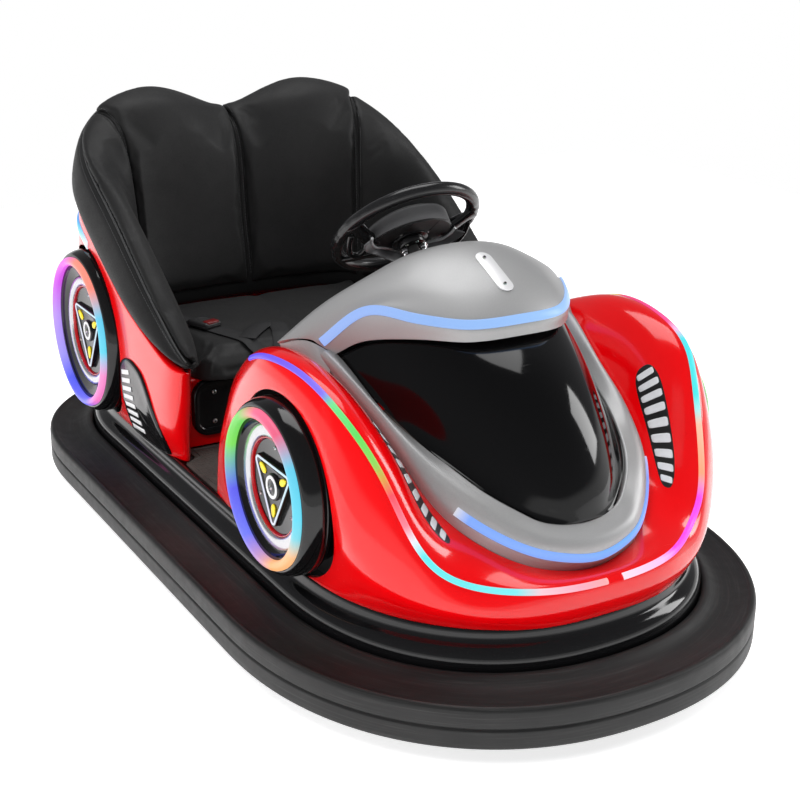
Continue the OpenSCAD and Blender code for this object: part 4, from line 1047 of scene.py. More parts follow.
RING_COLS = [
    # front: angle from the local x axis, which points forward on the car's right
    [(0, srgb(90, 215, 240)), (35, srgb(95, 205, 235)), (62, srgb(235, 90, 130)), (95, srgb(255, 110, 150)), (125, srgb(110, 215, 90)), (160, srgb(120, 225, 80)), (200, srgb(90, 90, 240)), (240, srgb(110, 120, 250)), (268, srgb(200, 150, 200)), (290, srgb(255, 180, 110)), (325, srgb(255, 190, 130)), (345, srgb(120, 215, 230))],
    [(0, srgb(90, 215, 240)), (25, srgb(95, 205, 240)), (50, srgb(255, 140, 120)), (85, srgb(255, 150, 130)), (110, srgb(230, 90, 230)), (145, srgb(215, 80, 240)), (180, srgb(190, 150, 250)), (215, srgb(160, 150, 250)), (240, srgb(80, 90, 245)), (285, srgb(110, 110, 250)), (310, srgb(250, 120, 200)), (340, srgb(245, 140, 205))]]

# ------------------------------------------------------------------ seat
BACK = [
  [[0, 580, 418], [0, 604, 600], [0, 632, 790], [0, 711, 852], [0, 765, 825], [0, 786, 714], [0, 750, 680], [0, 705, 418]],
  [[110, 577, 418], [110, 598, 610], [110, 622, 832], [112, 698, 894], [112, 768, 866], [112, 786, 714], [110, 750, 678], [108, 702, 418]],
  [[210, 568, 418], [208, 588, 610], [209, 612, 850], [210, 690, 915], [214, 762, 885], [214, 782, 712], [206, 745, 672], [200, 692, 418]],
  [[280, 535, 418], [290, 556, 600], [304, 584, 812], [330, 660, 880], [355, 712, 838], [364, 722, 706], [325, 700, 665], [310, 640, 418]],
  [[318, 450, 420], [332, 470, 560], [352, 506, 728], [388, 558, 805], [420, 592, 770], [432, 590, 690], [356, 556, 640], [350, 540, 424]],
  [[324, 330, 422], [340, 335, 525], [360, 351, 645], [396, 378, 724], [434, 392, 674], [443, 386, 584], [356, 370, 550], [350, 358, 428]],
  [[328, 190, 424], [344, 190, 484], [361, 193, 550], [397, 200, 602], [434, 204, 562], [444, 202, 504], [362, 198, 474], [352, 195, 434]],
  [[350, 82, 430], [358, 80, 450], [367, 78, 476], [394, 74, 502], [424, 74, 488], [431, 74, 469], [398, 74, 457], [372, 78, 437]],
  [[376, 35, 447], [380, 30, 451], [385, 27, 456], [396, 22, 464], [409, 25, 461], [412, 29, 457], [407, 32, 451], [391, 35, 447]]]
NU, NC = 10, 9

def back_grid():
    R = both(np.array(BACK, float) * MM)
    A = cr(R, NU)                                                     # rows
    A = np.swapaxes(cr(np.swapaxes(A, 0, 1), NC, closed=True), 0, 1)  # closed round the section
    # even out along the length
    for _ in range(14):
        A[1:-1] = 0.25 * A[:-2] + 0.5 * A[1:-1] + 0.25 * A[2:]
    for _ in range(4):
        A = 0.25 * np.roll(A, 1, 1) + 0.5 * A + 0.25 * np.roll(A, -1, 1)
    return A

def ring_normals(A):
    du = np.gradient(A, axis=0)
    dv = np.roll(A, -1, 1) - np.roll(A, 1, 1)
    n = np.cross(du, dv)
    n /= np.maximum(np.linalg.norm(n, axis=2, keepdims=True), 1e-12)
    c = A.mean(axis=1, keepdims=True)
    if np.sum((A - c) * n) < 0:
        n = -n
    return n

def tube_mesh(name, G, mat, caps=True):
    """Closed-section loft with capped ends."""
    m, n = G.shape[:2]
    idx = np.arange(m * n).reshape(m, n)
    F = []
    for i in range(m - 1):
        for j in range(n):
            F.append((idx[i, j], idx[i, (j + 1) % n], idx[i + 1, (j + 1) % n], idx[i + 1, j]))
    V = list(map(tuple, G.reshape(-1, 3)))
    if caps:
        for e, row in ((0, idx[0]), (1, idx[-1])):
            c = len(V); V.append(tuple(G[0 if e == 0 else -1].mean(0)))
            for j in range(n):
                a, b = row[j], row[(j + 1) % n]
                F.append((a, c, b) if e == 0 else (a, b, c))
    ob = mesh_object(name, V, F, mat)
    bm = bmesh.new(); bm.from_mesh(ob.data); bmesh.ops.recalc_face_normals(bm, faces=bm.faces); bm.to_mesh(ob.data); bm.free()
    return ob

def stuffed(ob, voxel=0.006, pressure=4.0, cap=0.012, frames=20, sub=False, pin=None, smooth_it=2):
    """Blow the closed form up as cloth, with the move capped, and leave a plain mesh."""
    add_mod(ob, "REMESH", mode="VOXEL", voxel_size=voxel, use_smooth_shade=True)
    apply_mods(ob)
    v0 = verts_of(ob).copy()
    if pin is not None:
        g = ob.vertex_groups.new(name="pin")
        w = pin(v0)
        for i in np.nonzero(w > 0.01)[0]:
            g.add([int(i)], float(w[i]), "REPLACE")
    m = ob.modifiers.new("cloth", "CLOTH")
    c = m.settings
    c.quality = 4
    c.mass = 0.30
    c.tension_stiffness = c.compression_stiffness = 22
    c.shear_stiffness = 12
    c.bending_stiffness = 2.5
    c.tension_damping = c.compression_damping = 10
    c.shear_damping = 8
    c.use_pressure = True
    c.uniform_pressure_force = pressure
    c.effector_weights.gravity = 0.0
    if pin is not None:
        c.vertex_group_mass = "pin"
        c.pin_stiffness = 1.0
    m.collision_settings.use_collision = False
    m.point_cache.frame_start, m.point_cache.frame_end = 1, frames
    SC.frame_start, SC.frame_end = 1, frames
    for f in range(1, frames + 1):
        SC.frame_set(f)
    dg = bpy.context.evaluated_depsgraph_get()
    me = ob.evaluated_get(dg).to_mesh()
    v1 = np.zeros(len(me.vertices) * 3); me.vertices.foreach_get("co", v1); v1 = v1.reshape(-1, 3).copy()
    ob.evaluated_get(dg).to_mesh_clear()
    ob.modifiers.clear()
    SC.frame_set(1)
    d = v1 - v0
    L = np.linalg.norm(d, axis=1, keepdims=True)
    d *= np.minimum(1.0, cap / np.maximum(L, 1e-9))
    d[~np.isfinite(d).all(1)] = 0
    ob.data.vertices.foreach_set("co", (v0 + d).ravel())
    ob.data.update()
    if smooth_it:
        add_mod(ob, "SMOOTH", factor=0.5, iterations=smooth_it)
    if sub:
        add_mod(ob, "SUBSURF", levels=1, render_levels=1)
    apply_mods(ob)
    ob.data.polygons.foreach_set("use_smooth", [True] * len(ob.data.polygons))
    print("stuffed", ob.name, len(ob.data.polygons), "max move mm", float(L.max() * 1000))
    return ob

from mathutils.bvhtree import BVHTree
def bvh_of(ob):
    me = ob.data
    return BVHTree.FromPolygons([v.co.copy() for v in me.vertices], [tuple(p.vertices) for p in me.polygons])

def lay_on(bvh, P, off=0.0, N=None, reach=0.05):
    """Points moved onto the surface: along -N from outside when N is given, else to the nearest place."""
    out, nr = [], []
    for i, p in enumerate(P):
        p = Vector(p)
        hit = None
        if N is not None:
            d = -Vector(N[i]).normalized()
            h = bvh.ray_cast(p - d * reach, d, reach * 2)
            if h[0] is not None:
                hit = h
        if hit is None:
            hit = bvh.find_nearest(p)
        n = hit[1].normalized()
        if N is not None and n.dot(Vector(N[i])) < 0:
            n = -n
        out.append(hit[0] + n * off); nr.append(n)
    O = np.array([tuple(o) for o in out]); Q = np.array([tuple(n) for n in nr])
    return O, Q

def fair(P, it=3):
    P = P.copy()
    for _ in range(it):
        P[1:-1] = 0.25 * P[:-2] + 0.5 * P[1:-1] + 0.25 * P[2:]
    return P

def stitches(name, P, N, side=0.0, pitch=0.0075, length=0.0048, r=0.00055, mat=None):
    """A row of short thread runs along P, shifted sideways on the surface."""
    P = np.asarray(P); N = np.asarray(N)
    T = np.gradient(P, axis=0); T /= np.linalg.norm(T, axis=1, keepdims=True)
    S = np.cross(N, T); S /= np.maximum(np.linalg.norm(S, axis=1, keepdims=True), 1e-9)
    Q = P + side * S
    s = np.concatenate([[0], np.cumsum(np.linalg.norm(np.diff(Q, axis=0), axis=1))])
    V, F = [], []
    k = 6
    a = 0.004
    while a + length < s[-1]:
        t = np.linspace(a, a + length, 4)
        c = np.stack([np.interp(t, s, Q[:, q]) for q in range(3)], 1)
        n = np.stack([np.interp(t, s, N[:, q]) for q in range(3)], 1)
        n /= np.linalg.norm(n, axis=1, keepdims=True)
        h = np.array([-0.0004, 0.0004, 0.0004, -0.0004])
        c = c + n * h[:, None]
        d = (c[-1] - c[0]); d /= np.linalg.norm(d)
        b0 = len(V)
        for i in range(4):
            u = np.cross(d, n[i]); u /= np.linalg.norm(u)
            w = np.cross(u, d)
            for j in range(k):
                t2 = 2 * math.pi * j / k
                V.append(tuple(c[i] + r * (math.cos(t2) * u + math.sin(t2) * w)))
        for i in range(3):
            for j in range(k):
                F.append((b0 + i * k + j, b0 + i * k + (j + 1) % k, b0 + (i + 1) * k + (j + 1) % k, b0 + (i + 1) * k + j))
        F.append(tuple(b0 + j for j in range(k - 1, -1, -1))); F.append(tuple(b0 + 3 * k + j for j in range(k)))
        a += pitch
    return mesh_object(name, V, F, mat or MAT["thread"])

def build_seat():
    A = back_grid()
    N = ring_normals(A)
    m, n = A.shape[:2]
    mid = (m - 1) // 2
    col = np.arange(n) / NC                       # section position, in table columns
    row = (np.arange(m) - mid) / NU               # along the seat, in table rows
    # shell under the padding: sunk under the pads, flush on the outside
    sink = np.interp(col, [0, 0.4, 3.3, 3.9, 7.3, 8.0], [0.013, 0.013, 0.013, 0.0, 0.0, 0.010])
    core = tube_mesh("seat_shell", A - N * sink[None, :, None], MAT["leather"])
    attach(core, "car"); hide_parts("seat_back")
    pads = []
    PC = 3.62                                      # the piping's place in the section
    def pad(name, r0, r1, edge_w, depth, thick, **kw):
        i0, i1 = int(round(mid + r0 * NU)), int(round(mid + r1 * NU))
        rr = np.linspace(i0, i1, (i1 - i0) * 2 + 1)
        js = np.linspace(0.12 * NC, PC * NC, 60)
        def samp(X, r, c):
            i = min(int(r), m - 2); u = r - i
            j = np.floor(c).astype(int); v = (c - j)[:, None]
            return (1 - u) * ((1 - v) * X[i, j] + v * X[i, j + 1]) + u * ((1 - v) * X[i + 1, j] + v * X[i + 1, j + 1])
        P = np.array([samp(A, r, js) for r in rr]); Q = np.array([samp(N, r, js) for r in rr])
        Q /= np.linalg.norm(Q, axis=2, keepdims=True)
        # distance to the pad's edges, along both directions
        def arcs(X, ax):
            d = np.linalg.norm(np.diff(X, axis=ax), axis=2)
            s = np.concatenate([np.zeros_like(np.take(d, [0], ax)), np.cumsum(d, ax)], ax)
            return np.minimum(s, np.take(s, [-1], ax) - s)
        e = np.minimum(arcs(P, 0), arcs(P, 1))
        t = np.clip(e / edge_w, 0, 1)
        dip = depth * (1 - np.sqrt(np.maximum(1 - (1 - t) ** 2, 0)))
        front = P - Q * dip[..., None]
        back = P - Q * (depth + thick * np.clip(e / (edge_w * 1.6), 0, 1) ** 0.6)[..., None]
        a, b = front.shape[:2]
        V = np.concatenate([front.reshape(-1, 3), back.reshape(-1, 3)])
        idx = np.arange(a * b).reshape(a, b); q = a * b
        F = []
        for i in range(a - 1):
            for j in range(b - 1):
                F.append((idx[i, j], idx[i + 1, j], idx[i + 1, j + 1], idx[i, j + 1]))
                F.append((q + idx[i, j], q + idx[i, j + 1], q + idx[i + 1, j + 1], q + idx[i + 1, j]))
        rim = [idx[i, 0] for i in range(a)] + [idx[a - 1, j] for j in range(1, b)] + [idx[i, b - 1] for i in range(a - 2, -1, -1)] + [idx[0, j] for j in range(b - 2, 0, -1)]
        for k in range(len(rim)):
            u, v = rim[k], rim[(k + 1) % len(rim)]
            F.append((u, q + u, q + v, v))
        ob = mesh_object(name, V, F, MAT["leather"])
        bm = bmesh.new(); bm.from_mesh(ob.data); bmesh.ops.recalc_face_normals(bm, faces=bm.faces); bm.to_mesh(ob.data); bm.free()
        stuffed(ob, **kw)
        put(ob, "car", "leather_black", "seat_back")
        pads.append(ob)
        return ob
    pad("backrest_pad_left", 0.0, 3.0, 0.020, 0.0085, 0.016, voxel=0.006, pressure=3.0, cap=0.007, sub=False)
    pad("backrest_pad_right", -3.0, 0.0, 0.020, 0.0085, 0.016, voxel=0.006, pressure=3.0, cap=0.007, sub=False)
    pad("wing_pad_left", 3.0, 7.75, 0.018, 0.0075, 0.014, voxel=0.006, pressure=2.5, cap=0.006, sub=False)
    pad("wing_pad_right", -7.75, -3.0, 0.018, 0.0075, 0.014, voxel=0.006, pressure=2.5, cap=0.006, sub=False)
    # seams and piping, laid on the finished surfaces
    trees = [bvh_of(p) for p in pads] + [bvh_of(core)]
    def drape(P, Nn, off):
        best, nb = None, None
        O, Q = [], []
        for p, nn in zip(P, Nn):
            p = Vector(p); d = -Vector(nn).normalized()
            top = None
            for t in trees:
                h = t.ray_cast(p - d * 0.03, d, 0.06)
                if h[0] is not None and (top is None or h[3] < top[3]):
                    top = h
            if top is None:
                O.append(tuple(p)); Q.append(tuple(-d)); continue
            O.append(tuple(top[0] - d * off)); Q.append(tuple(-d))
        return fair(np.array(O), 6), np.array(Q)
    def line(rows, cols, k=260):
        rr = np.interp(np.linspace(0, 1, k), np.linspace(0, 1, len(rows)), np.array(rows) * NU + mid)
        cc = np.interp(np.linspace(0, 1, k), np.linspace(0, 1, len(cols)), np.array(cols) * NC)
        def samp(X):
            i = np.clip(rr.astype(int), 0, m - 2); u = (rr - i)[:, None]
            j = np.floor(cc).astype(int) % n; j2 = (j + 1) % n; v = (cc - np.floor(cc))[:, None]
            return (1 - u) * ((1 - v) * X[i, j] + v * X[i, j2]) + u * ((1 - v) * X[i + 1, j] + v * X[i + 1, j2])
        Nn = samp(N); Nn /= np.linalg.norm(Nn, axis=1, keepdims=True)
        return samp(A), Nn
    bits = []
    for r0 in (0.0, 3.0, -3.0):
        P, Nn = line([r0, r0], [0.3, PC])
        for sd in (-1, 1):
            T = np.gradient(P, axis=0); T /= np.linalg.norm(T, axis=1, keepdims=True)
            S = np.cross(Nn, T)
            O, Q = drape(P + S * sd * 0.0062, Nn, 0.0003)
            bits.append(stitches("stitch", O, Q))
        O, Q = drape(P, Nn, 0.0008)
        bits.append(tube("welt", O, 0.0016, MAT["leather"], k=8, up=Q))
    # piping all round the crest
    P, Nn = line([-7.9, 7.9], [PC, PC], 900)
    O, Q = drape(P, Nn, 0.0014)
    bits.append(tube("piping", fair(O, 8), 0.0027, MAT["piping"], k=10, up=Q))
    for c in (PC + 0.20,):
        P, Nn = line([-7.7, 7.7], [c, c], 900)
        O, Q = drape(P, Nn, 0.0003)
        bits.append(stitches("stitch", O, Q))
    put(join("seat_seams", bits), "car", "leather_black", "seat_back")
    # bench cushion: crowned, with a front roll, sides drawn in between the corners
    cush = cushion()
    trees2 = [bvh_of(cush)]
    return A, N, cush

def cushion():
    x0, x1, y0, y1, z0, z1 = -0.316, 0.316, 0.166, 0.604, 0.3588, 0.411
    nx, ny, nz = 64, 54, 10
    # a rounded box with a crowned top, as a grid over a cube sphere-like wrap
    bm = bmesh.new()
    bmesh.ops.create_cube(bm, size=1.0)
    bmesh.ops.subdivide_edges(bm, edges=bm.edges, cuts=23, use_grid_fill=True)
    hx, hy, hz = (x1 - x0) / 2, (y1 - y0) / 2, (z1 - z0) / 2
    cx, cy, cz = (x0 + x1) / 2, (y0 + y1) / 2, (z0 + z1) / 2
    for v in bm.verts:
        u, w, h = v.co.x * 2, v.co.y * 2, v.co.z * 2
        # rounded rectangle in plan and rounded edges in section
        X, Y, Z = u * hx, w * hy, h * hz
        rc = 0.055
        ax, ay = abs(X), abs(Y)
        if ax > hx - rc and ay > hy - rc:
            dx, dy = (ax - hx + rc), (ay - hy + rc)
            L = max(dx, dy) / max(math.hypot(dx, dy), 1e-9)
            ax, ay = hx - rc + dx * L, hy - rc + dy * L
            X, Y = math.copysign(ax, X), math.copysign(ay, Y)
        # draw the sides in between the corners
        pull = 0.006 * (1 - abs(h) ** 2)
        X *= 1 - 0.010 * (1 - w * w) * (0.4 + 0.6 * (h * 0.5 + 0.5))
        Y *= 1 - 0.010 * (1 - u * u)
        # round the upper edge
        ed = min((hx - abs(X)), (hy - abs(Y)))
        re = 0.030
        t = min(max(ed / re, 0), 1)
        top = (1 - math.sqrt(max(1 - (1 - t) ** 2, 0))) * re * 0.85
        if Z > 0:
            Z = Z - top * (Z / hz)
            Z += 0.007 * (1 - (X / hx) ** 2) * (1 - (Y / hy) ** 2) * (Z / hz)
            # shallow channel on the middle line between the two places
            Z -= 0.004 * math.exp(-(X / 0.010) ** 2) * (1 if abs(Y) < hy - 0.03 else 0.3) * (Z / hz)
        v.co = Vector((cx + X, cy + Y, cz + Z))
    me = bpy.data.meshes.new("seat_cushion_pad")
    bm.to_mesh(me); bm.free()
    ob = bpy.data.objects.new("seat_cushion_pad", me)
    SC.collection.objects.link(ob)
    me.materials.append(MAT["leather"])
    zb = z0
    stuffed(ob, voxel=0.006, pressure=3.5, cap=0.010, sub=False, pin=lambda v: np.clip(1.0 - (v[:, 2] - zb - 0.004) / 0.012, 0, 1))
    v = verts_of(ob)
    v[:, 2] = np.maximum(v[:, 2], zb)
    ob.data.vertices.foreach_set("co", v.ravel()); ob.data.update()
    put(ob, "car", "leather_black", "seat_cushion")
    return ob

def more_materials():
    M = MAT
    M["tyre_gloss"] = m_gloss("tyre_gloss_black", (0.004, 0.004, 0.0043), rough=0.10, spec=0.45, dust=0.08)
    M["silver_gloss"] = m_gloss("silver_gloss", (0.50, 0.50, 0.52), rough=0.16, coat=0.6)
    M["silver_gloss"].node_tree.nodes["Principled BSDF"].inputs["Metallic"].default_value = 0.75
    M["red_ring"] = m_gloss("red_ring_gloss", (0.45, 0.004, 0.006), rough=0.14, coat=0.3)
    m = NT("piping_leather")
    m.set(Specular_IOR_Level=0.5)
    g = m.voronoi(900.0)
    m.color(m.mix(m.noise(40.0, 3.0), (0.020, 0.020, 0.021), (0.038, 0.038, 0.039)))
    m.rough(m.math("ADD", m.math("MULTIPLY", g, 0.3), 0.32))
    m.bump(g, 0.25, 0.0004)
    M["piping"] = m.mat
    m = NT("wheel_rubber_gloss")
    m.set(Specular_IOR_Level=0.5)
    m.color(m.mix(m.noise(30.0, 4.0), (0.0055, 0.0055, 0.006), (0.010, 0.010, 0.0105)))
    m.rough(m.math("ADD", m.math("MULTIPLY", m.noise(70.0, 4.0), 0.12), 0.16))
    m.bump(m.noise(700.0, 2.0), 0.06, 0.0003)
    M["rim_black"] = m.mat
    m = NT("pad_band_grey")
    m.set(Specular_IOR_Level=0.45)
    ln = m.voronoi(1400.0)
    m.color(m.mix(m.noise(26.0, 3.0), (0.055, 0.055, 0.057), (0.085, 0.085, 0.088)))
    m.rough(m.math("ADD", m.math("MULTIPLY", ln, 0.3), 0.38))
    m.bump(ln, 0.4, 0.0003)
    M["band_grey"] = m.mat
    m = NT("spoke_plate_grey")
    m.set(Metallic=0.3, Specular_IOR_Level=0.5)
    m.color(m.mix(m.noise(18.0, 3.0), (0.10, 0.10, 0.105), (0.15, 0.15, 0.155)))
    m.rough(m.math("ADD", m.math("MULTIPLY", m.noise(60.0, 3.0), 0.15), 0.30))
    m.bump(m.noise(900.0, 2.0), 0.1, 0.0002)
    M["plate_grey"] = m.mat

# ------------------------------------------------------------------ steering wheel
def steer_matrix():
    t = math.radians(43.0)
    return Matrix.Translation((0, -0.150, 0.736)) @ Matrix.Rotation(-t, 4, "X")

def extrude_outline(name, pts, z0, z1, mat, r=0.0012, segs=2):
    ob = plate_with_holes(name, pts, z0, z1, [], mat, r=0)
    if r:
        add_mod(ob, "BEVEL", width=r, segments=segs, limit_method="ANGLE", angle_limit=math.radians(40))
        apply_mods(ob)
    ob.data.polygons.foreach_set("use_smooth", [True] * len(ob.data.polygons))
    ob.data.set_sharp_from_angle(angle=math.radians(35))
    return ob

def smooth2(P, n=6, closed=False):
    return cr(np.array(P, float), n, closed)

def build_steering():
    M = steer_matrix()
    R = 0.144
    # rim: thick round section, a little flattened towards the driver, with the seam line of its wrap and finger grooves
    nu, nv = 192, 30
    G = np.zeros((nu, nv, 3))
    for i in range(nu):
        a = 2 * math.pi * i / nu
        d = math.degrees(a)
        grip = 0.0
        for k in range(-3, 4):                      # finger grooves behind the grips, left and right
            for c in (0, 180):
                x = ((d - c - k * 10 + 180) % 360) - 180
                grip += math.exp(-(x / 2.6) ** 2)
        for j in range(nv):
            t = 2 * math.pi * j / nv
            r = 0.0135
            g = 1 - 0.05 * grip * (1 if math.sin(t) < 0.3 else 0.2)
            rr = r * g
            G[i, j] = ((R + rr * 0.97 * math.cos(t)) * math.cos(a), (R + rr * 0.97 * math.cos(t)) * math.sin(a), rr * math.sin(t))
    rim = grid_object("rim", G, MAT["rim_black"], cu=True, cv=True)
    seam = tube("rim_seam", [((R - 0.0128) * math.cos(a), (R - 0.0128) * math.sin(a), 0.0035) for a in np.linspace(0, 2 * math.pi, 160, endpoint=False)], 0.0006, MAT["thread"], k=5, closed=True)
    rim = join("steering_rim_grip", [rim, seam])
    put(place(rim, M), "steering_wheel", "wheel_black", "steering_rim")
    # local axes: +X the car's left, +Y towards the driver's chest (down the tilted plane), +Z along the axis to the driver
    bits = []
    def wall(name, top, bot, th, mat, n=90):
        T = resample(cr(np.array(top, float), 12), n); B = resample(cr(np.array(bot, float), 12), n)
        t = np.linspace(0, 1, 7)[None, :, None]
        return shell(name, T[:, None] * (1 - t) + B[:, None] * t, th, mat, edge=0.0009, segs=2)
    half = [(0.096, -0.020, -0.0185), (0.091, -0.004, -0.0215), (0.076, 0.012, -0.0235), (0.058, 0.021, -0.0215), (0.040, 0.031, -0.0195), (0.020, 0.044, -0.0180), (0.0, 0.0515, -0.0178)]
    low = [(0.116, -0.022, -0.0330), (0.112, -0.006, -0.0345), (0.098, 0.009, -0.0360), (0.072, 0.021, -0.0400), (0.046, 0.034, -0.0445), (0.022, 0.048, -0.0480), (0.0, 0.0560, -0.0495)]
    half = [(x, y, z - 0.0062) for x, y, z in half]; low = [(x, y, z - 0.0030) for x, y, z in low]
    mir = lambda P: [(-x, y, z) for x, y, z in P] + P[-2::-1]
    bits.append(wall("v_plate", mir(half), mir(low), 0.0032, MAT["plate_grey"]))
    bits.append(tube("v_trim", resample(cr(np.array(mir(half)), 14), 220) + np.array([0, -0.0046, -0.0012]), 0.0028, MAT["plate"], k=10, up=(0, 0, 1)))
    for s in (-1, 1):
        # spoke arm: rounded bar from the bracket's end to the rim, with a thumb pad on top
        P = cr(np.array([(s * 0.082, 0.006, -0.0200), (s * 0.096, -0.010, -0.0175), (s * 0.112, -0.024, -0.0130), (s * 0.126, -0.036, -0.0085), (s * 0.138, -0.046, -0.0050)]), 10)
        n = len(P)
        pr = [(0.0145 * math.copysign(abs(math.cos(t)) ** 0.7, math.cos(t)), 0.0068 * math.copysign(abs(math.sin(t)) ** 0.7, math.sin(t))) for t in np.linspace(0, 2 * math.pi, 28, endpoint=False)]
        bits.append(sweep("arm", P, pr, MAT["rim_black"], up=(0, 0, 1), scale=1.0 + 0.28 * np.abs(np.linspace(-1, 1, n)) ** 2))
        k = bevel_box("thumb", (-0.017, -0.0085, -0.0035), (0.017, 0.0085, 0.0035), MAT["rim_black"], r=0.0033, segs=4)
        place(k, Matrix.Translation((s * 0.110, -0.024, -0.0040)) @ Matrix.Rotation(s * math.radians(-42), 4, "Z"))
        bits.append(k)
        k = bevel_box("key", (-0.0055, -0.0045, 0.0), (0.0055, 0.0045, 0.0024), MAT["band_grey"], r=0.0011, segs=3)
        place(k, Matrix.Translation((s * 0.107, -0.0215, -0.0012)) @ Matrix.Rotation(s * math.radians(-42), 4, "Z"))
        bits.append(k)
        # finger loop behind the arm, down to the lower part of the rim
        P = cr(np.array([(s * 0.136, -0.020, -0.0120), (s * 0.1335, 0.006, -0.0220), (s * 0.124, 0.026, -0.0290), (s * 0.108, 0.030, -0.0310), (s * 0.098, 0.018, -0.0300), (s * 0.096, 0.002, -0.0260)]), 10)
        bits.append(tube("loop", P, 0.0062, MAT["rim_black"], k=18, up=(0, 0, 1)))
        # lower arm of the bracket to the rim
        P = cr(np.array([(s * 0.060, 0.030, -0.0300), (s * 0.082, 0.050, -0.0240), (s * 0.100, 0.072, -0.0160), (s * 0.112, 0.088, -0.0080)]), 10)
        bits.append(sweep("lowarm", P, [(0.6 * a, 0.8 * b) for a, b in pr], MAT["rim_black"], up=(0, 0, 1)))
    # two acorn nuts on long studs under the bracket
    for x, y in ((-0.0125, 0.0110), (0.0235, 0.0030)):
        q = lathe("acorn", [(0, -0.0590), (0.0030, -0.0584), (0.0054, -0.0564), (0.0066, -0.0534), (0.0068, -0.0505), (0.0082, -0.0495), (0.0090, -0.0480), (0.0090, -0.0450), (0.0112, -0.0444), (0.0116, -0.0425), (0.0060, -0.0415), (0.0060, -0.0260), (0, -0.0260)], MAT["chrome"], n=40, close=False)
        bits.append(place(q, Matrix.Translation((x, y, 0))))
    # hub: flange under the housing with its six screws
    bits.append(lathe("hubflange", [(0, -0.0440), (0.0240, -0.0442), (0.0270, -0.0430), (0.0280, -0.0410), (0.0285, -0.0330), (0.0370, -0.0315), (0.0378, -0.0290), (0.0370, -0.0080), (0.0340, -0.0064), (0, -0.0062)], MAT["rim_black"], n=72, close=False))
    for k in range(6):
        a = math.radians(60 * k + 30)
        bits.append(screw((0.0215 * math.cos(a), 0.0215 * math.sin(a), -0.0440), (0, 0, -1), 0.0030))
    put(place(join("steering_spokes_plate", bits), M), "steering_wheel", "spoke_grey", "steering_spokes")
    # housing: arched on the rim's side, V-shaped towards the driver, with a crowned pad on top and a grey side wall
    arcp = [(0.0855 * math.cos(t), 0.0855 * math.sin(t)) for t in np.radians(np.linspace(184, 356, 44))]
    vee = [(0.0790, 0.0050), (0.0660, 0.0125), (0.0480, 0.0220), (0.0300, 0.0340), (0.0120, 0.0450), (0.0, 0.0475)]
    vee = [tuple(p) for p in cr(np.array(vee), 4)]
    out = arcp + vee + [(-x, y) for x, y in vee[-2::-1]]
    O = np.array(out); n = len(O); c = np.array([0.0, -0.022])
    slope = lambda y: -0.0340 + (y + 0.086) / 0.137 * 0.0140
    lev = [(0.985, None, 0.0), (1.0, None, 0.0012), (1.0, 0.0010, 0.0), (0.992, 0.0032, 0.0), (0.968, 0.0052, 0.0), (0.93, 0.0066, 0.0), (0.86, 0.0084, 0.0), (0.72, 0.0108, 0.0), (0.50, 0.0130, 0.0), (0.25, 0.0140, 0.0)]
    V, F = [], []
    for k, h, d in lev:
        for p in O:
            q = c + (p - c) * k
            V.append((q[0], q[1], slope(q[1]) + d if h is None else h))
    for i in range(len(lev) - 1):
        for j in range(n):
            F.append((i * n + j, i * n + (j + 1) % n, (i + 1) * n + (j + 1) % n, (i + 1) * n + j))
    F.append(tuple((len(lev) - 1) * n + j for j in range(n))); F.append(tuple(j for j in range(n - 1, -1, -1)))
    padob = mesh_object("pad", V, F, MAT["plastic"])
    bm = bmesh.new(); bm.from_mesh(padob.data); bmesh.ops.recalc_face_normals(bm, faces=bm.faces); bm.to_mesh(padob.data); bm.free()
    padob.data.set_sharp_from_angle(angle=math.radians(40))
    A = np.array(arcp)
    t = np.linspace(0, 1, 8)[None, :, None]
    hi = np.concatenate([A * 1.012, np.full((len(A), 1), 0.0012)], 1); lo = np.concatenate([A * 1.012, (slope(A[:, 1]) + 0.0022)[:, None]], 1)
    hi = resample(hi, 120); lo = resample(lo, 120)
    band = shell("band", hi[:, None] * (1 - t) + lo[:, None] * t, 0.0016, MAT["band_grey"], edge=0.0005, segs=2)
    ex = [padob, band, tube("welt", hi + np.array([0, 0, 0.0010]), 0.0011, MAT["piping"], k=8, up=(0, 0, 1)), tube("welt2", lo - np.array([0, 0, 0.0006]), 0.0010, MAT["rim_black"], k=8, up=(0, 0, 1))]
    # seam and two screws on the underside
    for s in (-1, 1):
        ex.append(tube("seam", [(s * 0.030, y, slope(y) - 0.0002) for y in np.linspace(-0.078, -0.030, 12)], 0.0007, MAT["black_decal_and_hole_shade"], k=6, up=(0, 0, 1)))
        ex.append(screw((s * 0.0300, -0.0240, slope(-0.024) + 0.0001), (0, 0, -1), 0.0028))
    put(place(join("steering_pad_cover", ex), M), "steering_wheel", "matt_black", "steering_pad")

